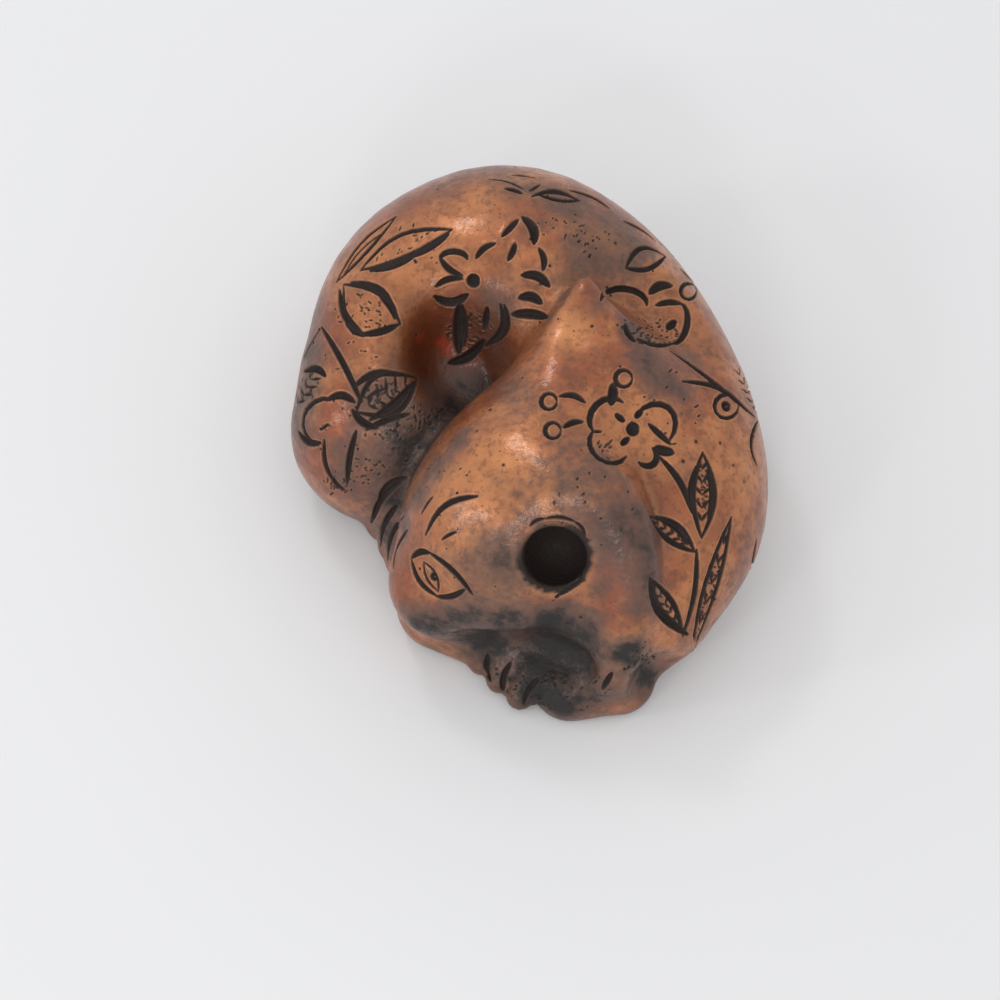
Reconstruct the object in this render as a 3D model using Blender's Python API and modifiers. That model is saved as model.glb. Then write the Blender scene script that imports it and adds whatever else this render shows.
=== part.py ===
"""A curled-up animal cast in copper-coloured bronze and engraved with flowers.

The smooth form is a blend of named masses. Primitives give its rough body, which is
drawn onto the blend, engraved, thinned, and then bored and cut flat below.
"""

import bmesh
import bpy
import numpy as np
from mathutils import Vector

# Driving dimensions, in metres
LENGTH = 0.0538
GROOVE_WIDTH = 0.00058
GROOVE_DEPTH = 0.00042
EAR_BORE = 0.0056
EAR_BORE_DEPTH = 0.0062
EAR_RIM_WIDTH = 0.0066
EAR_RIM_DEPTH = 0.0004
BASE_CUT = 0.0012

# The pose is laid out on an animal 53.77 units long, and UNIT turns its units to metres.
# POSE_MIDDLE is the middle of its footprint's box.
POSE_LENGTH = 53.77
POSE_MIDDLE = (-0.295, -4.988)
UNIT = LENGTH / POSE_LENGTH
BLEND_SOFT = 4.0 * UNIT
BLEND_MEDIUM = 2.0 * UNIT
BLEND_CLOSE = 1.4 * UNIT
BLEND_TOE = 0.7 * UNIT
BLEND_LIP = 0.5 * UNIT

# Spine of the curled body: x, y, z and girth radius from the loin round the back to the shoulder
SPINE = (
    (-12.6, 0.6, 10.6, 9.8),
    (-9.2, 7.6, 12.2, 11.0),
    (-2.6, 9.9, 13.0, 12.0),
    (3.2, 6.6, 12.6, 12.0),
    (7.8, 0.4, 12.2, 11.5),
    (10.8, -6.7, 11.4, 11.2),
    (11.6, -13.6, 10.4, 10.7),
    (8.6, -19.6, 8.4, 9.8),
)
SPINE_STATIONS = 40

# Ridge of the near ear's shell, over the bore and down the cheek: x, y, z and radius
EAR_SHELL = (
    (-0.5, -20.5, 20.6, 2.0),
    (3.6, -18.8, 22.4, 2.6),
    (7.2, -19.8, 21.4, 2.8),
    (8.8, -23.6, 17.5, 3.0),
    (8.6, -26.8, 13.0, 2.9),
    (7.4, -28.2, 7.0, 3.2),
)
EAR_SHELL_STATIONS = 14
EAR_CENTRE = (1.84, -24.98, 21.23)
EAR_AXIS = (-0.12, -0.60, 0.79)

# Round masses and hollows, each as centre, radii, yaw and roll in degrees
HAUNCH = ((-13.2, -3.6, 8.6), (10.0, 8.9, 10.8), 8, 0)
BELLY = ((0.8, -6.0, 5.0), (15.4, 19.6, 7.5), 0, 0)
FLANK_HOLLOW = ((-6.4, -2.8, 22.4), (4.6, 6.4, 8.4), 38, 0)
NAPE_HOLLOW = ((12.0, -0.2, 25.6), (3.4, 8.5, 4.6), 52, 0)
SKULL = ((0.4, -15.2, 13.0), (11.2, 11.7, 12.0), -30, 0)
FAR_EAR_HOLLOW = ((3.7, -2.5, 27.6), (2.3, 3.5, 1.9), 12, 26)
UNDER_JAW = ((-0.6, -28.2, 8.6), (6.4, 2.4, 2.2), -12, 0)
CHEEK_POCKET = ((11.6, -29.6, 7.0), (2.4, 1.6, 2.8), 30, 0)

# Masses that taper from one ball to another, each ball as x, y, z and radius
FAR_EAR_TIP = (5.0, 1.6, 25.0, 0.7)
CROWN = ((1.6, -13.6, 13.8, 10.4), FAR_EAR_TIP)
NECK = ((8.2, -8.2, 14.2, 10.0), FAR_EAR_TIP)
MUZZLE = ((-3.2, -17.8, 11.5, 8.6), (-8.0, -21.0, 9.6, 5.4))
CHIN = ((-8.6, -20.6, 4.0, 4.2), (-3.6, -23.6, 3.0, 3.2))
FRONT_PAWS = (
    ((4.0, -23.5, 3.5, 5.2), (-0.4, -25.6, 2.6, 3.0)),
    ((9.0, -23.0, 4.5, 5.0), (4.0, -28.0, 3.4, 3.5)),
    ((3.5, -28.4, 2.6, 3.2), (8.2, -27.8, 3.2, 3.6)),
)
HIND_PAW = ((-11.6, -8.2, 5.6, 4.6), (-10.2, -15.6, 4.8, 3.0))
FRONT_TOES = (
    ((-3.6, -24.4, 4.6, 1.2), (-4.7, -26.0, 2.6, 1.2)),
    ((-1.9, -25.8, 4.8, 1.3), (-3.0, -27.8, 2.6, 1.3)),
    ((0.3, -27.2, 4.8, 1.4), (-1.0, -29.4, 2.6, 1.4)),
)
HIND_TOES = (
    ((-12.9, -9.4, 7.2, 1.5), (-14.3, -11.3, 3.0, 1.5)),
    ((-12.1, -11.2, 7.2, 1.4), (-13.4, -13.5, 3.0, 1.4)),
    ((-11.7, -12.9, 7.2, 1.3), (-12.8, -15.1, 3.0, 1.3)),
    ((-11.4, -14.4, 7.0, 1.3), (-12.2, -16.4, 3.0, 1.3)),
)


def lengths(vectors):
    """Length of each vector in an array whose last axis is x, y, z."""
    return np.sqrt((vectors * vectors).sum(-1))


def smooth_min(a, b, blend):
    """Union of two distance fields, with a fillet about as wide as blend."""
    share = np.clip(0.5 + 0.5 * (b - a) / blend, 0.0, 1.0)
    return b * (1.0 - share) + a * share - blend * share * (1.0 - share)


def smooth_cut(a, b, blend):
    """Distance field a with b taken out of it, with a rounded lip."""
    return -smooth_min(-a, b, blend)


def turned(yaw, roll):
    """Rotation by roll about X, then by yaw about Z, in degrees."""
    yaw, roll = np.radians((yaw, roll))
    about_z = np.array(((np.cos(yaw), -np.sin(yaw), 0), (np.sin(yaw), np.cos(yaw), 0), (0, 0, 1)))
    about_x = np.array(((1, 0, 0), (0, np.cos(roll), -np.sin(roll)), (0, np.sin(roll), np.cos(roll))))
    return about_z @ about_x


def ellipsoid(points, mass):
    """Distance, near enough for blending, to a round mass given in pose units."""
    centre, radii, yaw, roll = mass
    local = (points - np.array(centre) * UNIT) @ turned(yaw, roll)
    radii = np.array(radii) * UNIT
    reach = lengths(local / radii)
    slope = lengths(local / radii ** 2) + 1e-9
    return reach * (reach - 1.0) / slope


def limbs(points, starts, ends):
    """Distance to each of several limbs: two spheres (x, y, z, radius) joined by their common cone."""
    starts = np.atleast_2d(starts)
    ends = np.atleast_2d(ends)
    axes = ends[:, :3] - starts[:, :3]
    span = (axes * axes).sum(1)
    taper = starts[:, 3] - ends[:, 3]
    slant = np.maximum(span - taper * taper, 1e-12)
    flat = points.reshape(-1, 3)
    along = flat @ axes.T - (starts[:, :3] * axes).sum(1)
    away = (flat * flat).sum(1)[:, None] - 2.0 * flat @ starts[:, :3].T + (starts[:, :3] ** 2).sum(1)
    across = np.maximum(away - along * along / span, 0.0)
    foot = along - np.sqrt(across) * taper * np.sqrt(span / slant)
    share = np.clip(foot / span, 0.0, 1.0)
    reach = np.sqrt(across + (along - share * span) ** 2 / span)
    nearest = reach - starts[:, 3] + share * taper
    return nearest.reshape(*points.shape[:-1], len(span))


def limb(points, start, end):
    """Distance to one limb given in metres."""
    return limbs(points, start, end)[..., 0]


def unit_limb(points, ends):
    """A limb whose two spheres are given in pose units."""
    start, end = np.array(ends) * UNIT
    return limb(points, start, end)


def smooth_path(knots, stations):
    """Catmull-Rom curve through the knots, read at evenly spaced parameters."""
    knots = np.array(knots, dtype=float)
    ends = np.vstack((2 * knots[0] - knots[1], knots, 2 * knots[-1] - knots[-2]))
    where = np.linspace(0.0, len(knots) - 1 - 1e-9, stations)
    first = where.astype(int)
    t = (where - first)[:, None]
    a, b, c, d = (ends[first + step] for step in range(4))
    bend = (2 * a - 5 * b + 4 * c - d) * t ** 2
    swing = (3 * b - a - 3 * c + d) * t ** 3
    return 0.5 * (2 * b + (c - a) * t + bend + swing)


def chain(points, path):
    """Distance to a run of limbs along a path of x, y, z and radius."""
    return limbs(points, path[:-1], path[1:]).min(-1)


def body_field(points):
    """The curled trunk with its haunch, belly and the hollows of flank and nape."""
    field = chain(points, smooth_path(SPINE, SPINE_STATIONS) * UNIT)
    field = smooth_min(field, ellipsoid(points, HAUNCH), BLEND_CLOSE)
    field = smooth_min(field, ellipsoid(points, BELLY), BLEND_MEDIUM)
    field = smooth_cut(field, ellipsoid(points, FLANK_HOLLOW), BLEND_SOFT)
    return smooth_cut(field, ellipsoid(points, NAPE_HOLLOW), BLEND_SOFT)


def head_field(points):
    """The egg-shaped head with its muzzle, neck, pointed far ear and the near ear's shell."""
    field = smooth_min(ellipsoid(points, SKULL), unit_limb(points, CROWN), BLEND_MEDIUM)
    field = smooth_min(field, unit_limb(points, NECK), BLEND_MEDIUM)
    field = smooth_min(field, unit_limb(points, MUZZLE), BLEND_SOFT)
    shell = chain(points, smooth_path(EAR_SHELL, EAR_SHELL_STATIONS) * UNIT)
    field = smooth_min(field, shell, BLEND_SOFT)
    return smooth_cut(field, ellipsoid(points, FAR_EAR_HOLLOW), BLEND_MEDIUM)


def paw_field(points):
    """Chin, the front paws tucked under it and the hind paw beside them, each with its toes."""
    field = unit_limb(points, CHIN)
    for paw in (*FRONT_PAWS, HIND_PAW):
        field = smooth_min(field, unit_limb(points, paw), BLEND_CLOSE)
    for toe in FRONT_TOES + HIND_TOES:
        field = smooth_min(field, unit_limb(points, toe), BLEND_TOE)
    return field


def ear_bore_field(points):
    """The near ear's blind bore and the dished rim round its mouth."""
    axis = np.array(EAR_AXIS) / np.linalg.norm(EAR_AXIS)
    mouth = np.array(EAR_CENTRE) * UNIT
    outside = np.append(mouth + axis * EAR_BORE_DEPTH, EAR_BORE / 2)
    inside = np.append(mouth - axis * (EAR_BORE_DEPTH - EAR_BORE / 2), EAR_BORE / 2)
    dish_radius = EAR_RIM_WIDTH ** 2 / (8 * EAR_RIM_DEPTH) + EAR_RIM_DEPTH / 2
    dish = lengths(points - mouth - axis * (dish_radius - EAR_RIM_DEPTH)) - dish_radius
    return np.minimum(limb(points, outside, inside), dish)


def solid_field(points):
    """Distance to the smooth form without the ear's bore, before it is engraved and cut flat below."""
    field = smooth_min(body_field(points), head_field(points), BLEND_CLOSE)
    field = smooth_min(field, paw_field(points), BLEND_CLOSE)
    field = smooth_cut(field, ellipsoid(points, UNDER_JAW), BLEND_MEDIUM)
    return smooth_cut(field, ellipsoid(points, CHEEK_POCKET), BLEND_CLOSE)


def form_field(points):
    """The smooth form with the near ear's bore taken out."""
    return smooth_cut(solid_field(points), ear_bore_field(points), BLEND_LIP)


# Viewing charts: directions from which the carver's drawing is laid onto the form.
# A chart's u runs to the right and v up, in pose units, on a plane through the middle.
CHART_MIDDLE = (-2.9, -4.94, -2.85)
CHART_DISTANCE = 300.0
MARCH_STEPS = 90
CHART_ELEVATION = 60.0
CHASING_STROKES = 5
# Shares of the groove's full width
PLAIN_CUT = 1.15
LEAF_CUT = 1.0
RING_CUT = 0.8
FINE_CUT = 0.62
BOLD_CUT = 1.7
EYE_CUT = 1.6

# Chisel cuts as (start u, start v, end u, end v, bow to the left of travel)
FACE_CUTS = (
    (-8.9, -5.8, -7.1, -5.3, 0.35),
    (-7.1, -5.3, -2.8, -9.5, 0.35),
    (-8.9, -5.9, -6.3, -9.7, -0.6),
    (-6.4, -9.7, -3.6, -9.0, -0.35),
    (-7.5, -3.5, -2.3, 0.4, 1.2),
    (5.6, -9.7, 8.3, -6.8, -0.5),
)
FINE_FACE_CUTS = (
    (-7.9, -1.4, -6.7, 0.4, 0.1),
    (-5.9, -4.0, -4.4, -3.2, 0.1),
    (-7.7, -6.2, -6.2, -9.2, 0.55),
    (-7.7, -6.2, -6.2, -9.2, -0.45),
)
TOE_CUTS = (
    (-1.2, -15.5, -1.0, -18.1, -0.25),
    (1.1, -16.3, 0.3, -19.1, -0.3),
    (3.8, -17.8, 2.4, -20.5, -0.2),
    (-9.9, 1.7, -12.9, -2.3, -0.5),
    (-10.3, -0.6, -12.0, -4.6, -0.5),
    (-9.6, -1.5, -11.3, -6.0, -0.5),
    (-9.3, -3.0, -10.7, -6.8, -0.4),
    (11.2, -17.3, 10.2, -19.0, 0.0),
)
STEM_CUTS = (
    (-17.9, 17.3, -13.9, 9.8, 0.2),
    (16.0, 4.3, 19.2, -1.2, 0.5),
    (19.7, -5.0, 18.3, -13.7, 0.5),
    (17.0, 15.0, 25.5, 8.3, 0.2),
    (18.3, 11.9, 24.6, 9.2, 0.8),
    (25.7, -4.0, 25.2, -6.8, 0.0),
    (0.5, 31.2, 2.2, 30.7, 0.1),
    (3.2, 30.4, 7.8, 30.0, 0.8),
    (7.0, 31.0, 10.9, 29.2, 0.3),
    (12.4, 27.9, 15.5, 26.0, 0.2),
    (18.1, 23.1, 19.2, 22.0, 0.0),
    (-13.4, 7.0, -9.0, 8.6, 0.2),
)
# Round petals, drawn as half ellipses: same five values
PETAL_CUTS = (
    (12.3, 9.8, 9.4, 6.9, -1.7),
    (9.3, 6.9, 12.7, 4.4, -1.8),
    (13.7, 8.6, 17.0, 6.0, 2.5),
    (13.9, 3.8, 15.3, 5.2, -1.2),
    (-6.0, 24.1, -3.3, 24.1, 0.8),
    (10.1, 20.0, 14.7, 19.5, 1.4),
    (18.1, 19.7, 17.2, 15.7, 1.1),
    (-16.9, 10.1, -18.2, 5.5, -2.2),
)
# Loose petal and stamen cuts of the same flowers
BLOSSOM_CUTS = (
    (14.9, 7.6, 17.1, 5.6, 0.0),
    (15.3, 5.2, 17.4, 4.7, -0.2),
    (6.0, 10.4, 8.5, 9.8, 0.4),
    (6.4, 7.3, 8.3, 7.9, 0.2),
    (12.4, 7.9, 11.6, 8.6, 0.0),
    (12.9, 6.2, 12.2, 5.6, 0.0),
    (13.6, 8.3, 14.2, 9.0, 0.0),
    (-3.8, 22.4, -6.0, 24.2, 0.3),
    (-2.4, 24.2, -0.5, 25.7, 0.3),
    (-6.4, 21.3, -3.8, 22.1, 0.35),
    (0.2, 26.4, 1.8, 28.1, 0.0),
    (1.5, 25.7, 0.8, 24.0, 0.1),
    (3.9, 25.2, 4.3, 23.0, 0.3),
    (0.0, 19.5, -1.5, 15.3, 0.9),
    (-1.3, 19.2, -1.6, 17.0, 0.0),
    (15.6, 19.5, 18.2, 19.7, 0.2),
    (17.2, 15.7, 13.8, 16.2, 0.4),
    (-17.6, 6.0, -15.9, 1.0, -0.7),
    (-14.4, 6.9, -15.3, 1.6, -0.2),
)
# The broadest cuts, where the chisel went in deep
BOLD_CUTS = (
    (11.3, 11.6, 11.1, 9.6, 0.1),
    (-6.5, 20.3, -3.3, 20.5, -0.7),
    (2.3, 28.3, 3.4, 25.7, 0.5),
    (2.2, 22.5, 4.9, 21.4, 0.5),
    (1.9, 20.2, 4.1, 19.7, 0.4),
    (1.2, 18.5, 4.7, 18.3, 0.2),
    (-4.1, 19.5, -4.1, 14.7, -0.1),
    (-5.0, 13.7, -1.7, 15.9, -0.5),
    (15.0, 20.7, 17.2, 21.5, 0.35),
    (18.8, -13.5, 15.2, -8.0, 1.0),
)
# Leaves as (base u, base v, tip u, tip v, left bow, right bow, chased)
LEAVES = (
    (-14.0, 23.0, -4.8, 27.1, 1.6, 0.6, False),
    (-16.4, 21.8, -10.4, 28.4, 0.8, 0.2, False),
    (-15.7, 21.6, -9.9, 17.6, 1.3, 3.3, False),
    (-14.4, 8.8, -8.2, 12.2, 2.2, 2.0, True),
    (-20.9, 8.7, -18.0, 13.9, 0.6, 1.4, True),
    (12.6, 23.2, 16.6, 24.4, 1.5, 0.7, False),
    (26.3, 7.7, 23.5, 13.7, 0.6, 0.5, True),
    (20.2, -3.8, 20.3, 4.8, 0.9, 1.3, True),
    (19.5, -5.2, 15.0, -1.6, 0.7, 1.0, True),
    (18.3, -13.2, 15.0, -7.8, 1.1, 0.7, True),
    (19.2, -15.2, 23.2, -1.7, 0.6, 0.6, True),
    (19.8, -14.8, 24.3, -4.7, 0.2, 0.9, False),
    (25.7, 3.5, 25.8, 7.9, 0.6, 0.7, False),
    (3.7, 30.7, 8.0, 30.0, 0.4, 0.3, False),
)
# Rings as (u, v, radius, inner dot)
RINGS = (
    (4.9, 9.9, 0.8, False),
    (5.3, 7.0, 0.8, False),
    (12.4, 12.2, 0.85, False),
    (18.9, 20.9, 0.8, False),
    (22.7, 9.4, 1.2, True),
    (-6.6, -7.7, 0.25, False),
)
FLOWER_EYES = ((13.4, 7.1), (-2.6, 21.9))

# Flower sprays on the sides that the front chart can't reach:
# chart azimuth and elevation, u, v, turn in degrees, and size
HIDDEN_SPRAYS = (
    (180.0, 20.0, 6.0, 4.0, 20.0, 0.8),
    (180.0, 20.0, -10.0, 4.0, 200.0, 0.8),
    (-110.0, 20.0, 4.0, 3.0, -30.0, 0.7),
    (110.0, 20.0, -5.0, 2.0, 160.0, 0.7),
)
SPRAY_STEM = (1.5, -4.0, 8.5, -8.5, 0.9)
SPRAY_LEAVES = ((4.5, -5.5, 9.5, -3.5, 1.0, 1.0, False), (3.6, -6.0, 3.0, -11.0, 0.9, 0.9, True))


def chart_axes(azimuth, elevation):
    """The chart's right, up and inward directions, seen from that azimuth and elevation."""
    azimuth, elevation = np.radians((azimuth, elevation))
    right = np.array((np.cos(azimuth), np.sin(azimuth), 0.0))
    level = np.array((-np.sin(azimuth), np.cos(azimuth), 0.0))
    inward = level * np.cos(elevation) - np.array((0.0, 0.0, np.sin(elevation)))
    return right, np.cross(right, inward), inward


def onto_form(chart, drawn):
    """Chart points (u, v) carried along sight lines onto the smooth form, in metres."""
    right, up, inward = chart_axes(*chart)
    middle = np.array(CHART_MIDDLE)
    eye = middle - inward * CHART_DISTANCE
    drawn = np.asarray(drawn, dtype=float)
    sight = middle + drawn[:, :1] * right + drawn[:, 1:] * up - eye
    sight /= lengths(sight)[:, None]
    eye = eye * UNIT
    reach = np.full(len(drawn), (CHART_DISTANCE - 60.0) * UNIT)
    for _ in range(MARCH_STEPS):
        reach = reach + 0.8 * np.clip(form_field(eye + sight * reach[:, None]), -UNIT, 8 * UNIT)
    found = reach < (CHART_DISTANCE + 60.0) * UNIT
    return eye + sight * reach[:, None], found


def bowed(cut, rounded, stations=9):
    """One chisel cut: a sine arch over its chord, or half an ellipse where it is rounded."""
    start = np.array(cut[0:2])
    end = np.array(cut[2:4])
    chord = end - start
    left = np.array((-chord[1], chord[0])) / np.linalg.norm(chord)
    share = np.linspace(0.0, 1.0, stations)[:, None]
    along = 0.5 - 0.5 * np.cos(np.pi * share) if rounded else share
    return start + chord * along + left * cut[4] * np.sin(np.pi * share)


def ring(u, v, radius, stations=13):
    """A closed circle on a chart."""
    angle = np.linspace(0.0, 2 * np.pi, stations)[:, None]
    return np.hstack((u + radius * np.cos(angle), v + radius * np.sin(angle)))


def leaf_lines(leaf):
    """A leaf's two edges, with its vein and side strokes where it is chased."""
    base_u, base_v, tip_u, tip_v, left, right, chased = leaf
    lines = [(bowed((base_u, base_v, tip_u, tip_v, bow), False), LEAF_CUT) for bow in (left, -right)]
    if not chased:
        return lines
    base = np.array((base_u, base_v))
    chord = np.array((tip_u, tip_v)) - base
    side = np.array((-chord[1], chord[0])) / np.linalg.norm(chord)
    for share in np.linspace(0.2, 0.8, CHASING_STROKES):
        swell = np.sin(np.pi * share) * 0.7
        for bow in (left, -right):
            foot = base + chord * share
            outer = base + chord * (share + 0.10) + side * bow * swell
            lines.append((np.linspace(foot, outer, 3), FINE_CUT))
    return lines


def spray_lines(u, v, turn, size):
    """A five-petalled flower on a stem with two leaves, at a place on a chart."""
    centre = np.array((u, v))
    lines = []

    def placed(points):
        angle = np.radians(turn)
        spin = np.array(((np.cos(angle), np.sin(angle)), (-np.sin(angle), np.cos(angle))))
        return centre + np.asarray(points) @ spin * size

    for petal in range(5):
        angle = np.radians(72 * petal + 18)
        outward = np.array((np.cos(angle), np.sin(angle)))
        across = np.array((-outward[1], outward[0]))
        start = outward * 1.9 + across * 1.2
        end = outward * 1.9 - across * 1.2
        lines.append((placed(bowed((*start, *end, 2.2), True)), LEAF_CUT))
        lines.append((placed(np.linspace(outward * 1.0, outward * 1.8, 3)), FINE_CUT))
    lines.append((placed(ring(0.0, 0.0, 0.3)), EYE_CUT))
    lines.append((placed(bowed(SPRAY_STEM, False)), LEAF_CUT))
    for leaf in SPRAY_LEAVES:
        lines += [(placed(points), width) for points, width in leaf_lines(leaf)]
    return lines


def front_lines():
    """All lines drawn on the front chart, as (points, share of the groove width)."""
    lines = [(bowed(cut, False), PLAIN_CUT) for cut in FACE_CUTS + TOE_CUTS + STEM_CUTS + BLOSSOM_CUTS]
    lines += [(bowed(cut, False), FINE_CUT) for cut in FINE_FACE_CUTS]
    lines += [(bowed(cut, False), BOLD_CUT) for cut in BOLD_CUTS]
    lines += [(bowed(cut, True), PLAIN_CUT) for cut in PETAL_CUTS]
    for leaf in LEAVES:
        lines += leaf_lines(leaf)
    for u, v, radius, dotted in RINGS:
        lines.append((ring(u, v, radius), RING_CUT))
        if dotted:
            lines.append((ring(u, v, radius * 0.25), LEAF_CUT))
    lines += [(ring(u, v, 0.3), EYE_CUT) for u, v in FLOWER_EYES]
    return lines


def carved_lines():
    """Every groove as an array of x, y, z and half-width, in metres on the smooth form."""
    drawings = [((0.0, CHART_ELEVATION), front_lines())]
    for azimuth, elevation, u, v, turn, size in HIDDEN_SPRAYS:
        drawings.append(((azimuth, elevation), spray_lines(u, v, turn, size)))
    grooves = []
    for chart, lines in drawings:
        places, found = onto_form(chart, np.vstack([points for points, _ in lines]))
        first = 0
        for points, width in lines:
            last = first + len(points)
            share = np.linspace(0.0, 1.0, len(points))
            taper = 0.35 + 0.65 * np.sin(np.pi * share) ** 0.6
            half_width = 0.5 * GROOVE_WIDTH * width * taper
            if found[first:last].all():
                grooves.append(np.column_stack((places[first:last], half_width)))
            first = last
    return grooves


def groove_field(points, grooves, reach):
    """Distance from each point to the nearest groove's edge, negative inside it, up to reach."""
    field = np.full(len(points), reach)
    for groove in grooves:
        margin = reach + groove[:, 3].max()
        low = groove[:, :3].min(0) - margin
        high = groove[:, :3].max(0) + margin
        near = np.flatnonzero(((points > low) & (points < high)).all(1))
        if len(near) == 0:
            continue
        nearest = field[near]
        for start, end in zip(groove, groove[1:]):
            nearest = np.minimum(nearest, segment_field(points[near], start, end))
        field[near] = nearest
    return field


def segment_field(points, start, end):
    """Distance to a line piece, less its half-width, which changes evenly along it."""
    axis = end[:3] - start[:3]
    share = np.clip((points - start[:3]) @ axis / (axis @ axis + 1e-18), 0.0, 1.0)
    away = lengths(points - start[:3] - share[:, None] * axis)
    return away - start[3] - share * (end[3] - start[3])


# Mesh making
VOXEL = 0.00034
SETTLING_ROUNDS = 5
SOLID_TRIANGLES = 9200
BORE_SIDES = 32
ROUGH_STATIONS = 12
# Balls that close the gaps between the masses
ROUGH_FILLERS = (
    (-13.2, -3.6, 8.6, 8.9),
    (-9.0, 0.0, 4.5, 6.0),
    (4.0, 2.0, 5.0, 7.0),
    (-2.0, -8.0, 5.0, 7.4),
    (4.0, -20.0, 5.0, 7.0),
)


def clear_scene():
    """Remove the objects of the scene."""
    for item in list(bpy.data.objects):
        bpy.data.objects.remove(item, do_unlink=True)


def new_collection(name):
    """A collection linked to the scene."""
    collection = bpy.data.collections.new(name)
    bpy.context.scene.collection.children.link(collection)
    return collection


def copper_material():
    """Polished copper-bronze with a brown patina."""
    material = bpy.data.materials.new("copper_bronze")
    material.use_nodes = True
    shader = material.node_tree.nodes["Principled BSDF"]
    shader.inputs["Base Color"].default_value = (0.42, 0.19, 0.09, 1.0)
    shader.inputs["Metallic"].default_value = 1.0
    shader.inputs["Roughness"].default_value = 0.34
    return material


def rough_masses():
    """Balls as x, y, z and radius in pose units that fill the form well enough to start from."""
    balls = [*smooth_path(SPINE, 16), *smooth_path(EAR_SHELL, 10), *ROUGH_FILLERS]
    for start, end in (CROWN, NECK, MUZZLE, CHIN, HIND_PAW, *FRONT_PAWS, *FRONT_TOES, *HIND_TOES):
        balls += list(np.linspace(start, end, ROUGH_STATIONS))
    return np.array(balls)


def rough_body(collection):
    """The balls as one voxel-remeshed closed skin."""
    mesh = bpy.data.meshes.new("curled_cat")
    shape = bmesh.new()
    for x, y, z, radius in rough_masses() * UNIT:
        made = bmesh.ops.create_icosphere(shape, subdivisions=4, radius=radius)
        bmesh.ops.translate(shape, verts=made["verts"], vec=(x, y, z))
    shape.to_mesh(mesh)
    shape.free()
    body = bpy.data.objects.new("curled_cat", mesh)
    collection.objects.link(body)
    skin = body.modifiers.new("skin", "REMESH")
    skin.mode = "VOXEL"
    skin.voxel_size = VOXEL
    return body


def freeze_modifiers(body):
    """Replace the object's mesh by its mesh after modifiers, triangulated."""
    evaluated = body.evaluated_get(bpy.context.evaluated_depsgraph_get())
    mesh = bpy.data.meshes.new_from_object(evaluated)
    old = body.data
    body.modifiers.clear()
    body.data = mesh
    bpy.data.meshes.remove(old)
    return mesh


def outer_skin(mesh):
    """Keep only the largest closed skin of the mesh."""
    shape = bmesh.new()
    shape.from_mesh(mesh)
    shape.verts.ensure_lookup_table()
    unseen = set(shape.verts)
    skins = []
    while unseen:
        seed = unseen.pop()
        front = [seed]
        skin = [seed]
        while front:
            vertex = front.pop()
            for edge in vertex.link_edges:
                other = edge.other_vert(vertex)
                if other in unseen:
                    unseen.remove(other)
                    front.append(other)
                    skin.append(other)
        skins.append(skin)
    skins.sort(key=len)
    for skin in skins[:-1]:
        bmesh.ops.delete(shape, geom=skin, context="VERTS")
    shape.to_mesh(mesh)
    shape.free()


def read_points(mesh):
    """The mesh's vertex places as an array."""
    flat = np.empty(len(mesh.vertices) * 3)
    mesh.vertices.foreach_get("co", flat)
    return flat.reshape(-1, 3)


def outward(points):
    """Unit slope of the distance field at each point."""
    step = 0.05 * UNIT
    slope = np.empty_like(points)
    for axis in range(3):
        shift = np.zeros(3)
        shift[axis] = step
        slope[:, axis] = solid_field(points + shift) - solid_field(points - shift)
    return slope / (lengths(slope)[:, None] + 1e-12)


def settle_on_form(mesh):
    """Draw the rough skin onto the blended form, evening out its points on the way."""
    points = read_points(mesh)
    edges = np.empty(len(mesh.edges) * 2, dtype=int)
    mesh.edges.foreach_get("vertices", edges)
    edges = edges.reshape(-1, 2)
    ends = np.concatenate((edges[:, 0], edges[:, 1]))
    others = np.concatenate((edges[:, 1], edges[:, 0]))
    neighbours = np.bincount(ends, minlength=len(points))[:, None]
    for _ in range(SETTLING_ROUNDS):
        middle = np.empty_like(points)
        for axis in range(3):
            middle[:, axis] = np.bincount(ends, weights=points[others, axis], minlength=len(points))
        points = 0.5 * points + 0.5 * middle / neighbours
        normal = outward(points)
        points = points - normal * solid_field(points)[:, None]
    return points, outward(points)


def engrave(points, normal):
    """Sink the points that lie within a groove, deepest along its middle."""
    edge = groove_field(points, carved_lines(), 2 * GROOVE_WIDTH)
    share = np.clip(-edge / (0.5 * GROOVE_WIDTH), 0.0, 1.3)
    return points - normal * (GROOVE_DEPTH * share ** 0.8)[:, None]


def bore_profile():
    """Half outline of the ear's bore as radius and height, from its top down to its round end."""
    dish_radius = EAR_RIM_WIDTH ** 2 / (8 * EAR_RIM_DEPTH) + EAR_RIM_DEPTH / 2
    dish_centre = dish_radius - EAR_RIM_DEPTH
    top = 0.5 * EAR_BORE
    bore_radius = EAR_BORE / 2
    lip = dish_centre - np.sqrt(dish_radius ** 2 - bore_radius ** 2)
    heights = np.linspace(top, lip, 7)
    dish = [(np.sqrt(dish_radius ** 2 - (height - dish_centre) ** 2), height) for height in heights]
    turns = np.linspace(0.0, np.pi / 2, 7)
    knee = bore_radius - EAR_BORE_DEPTH
    end = [(bore_radius * np.cos(turn), knee - bore_radius * np.sin(turn)) for turn in turns]
    return [(0.0, top)] + dish + end[:-1] + [(0.0, -EAR_BORE_DEPTH)]


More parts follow.
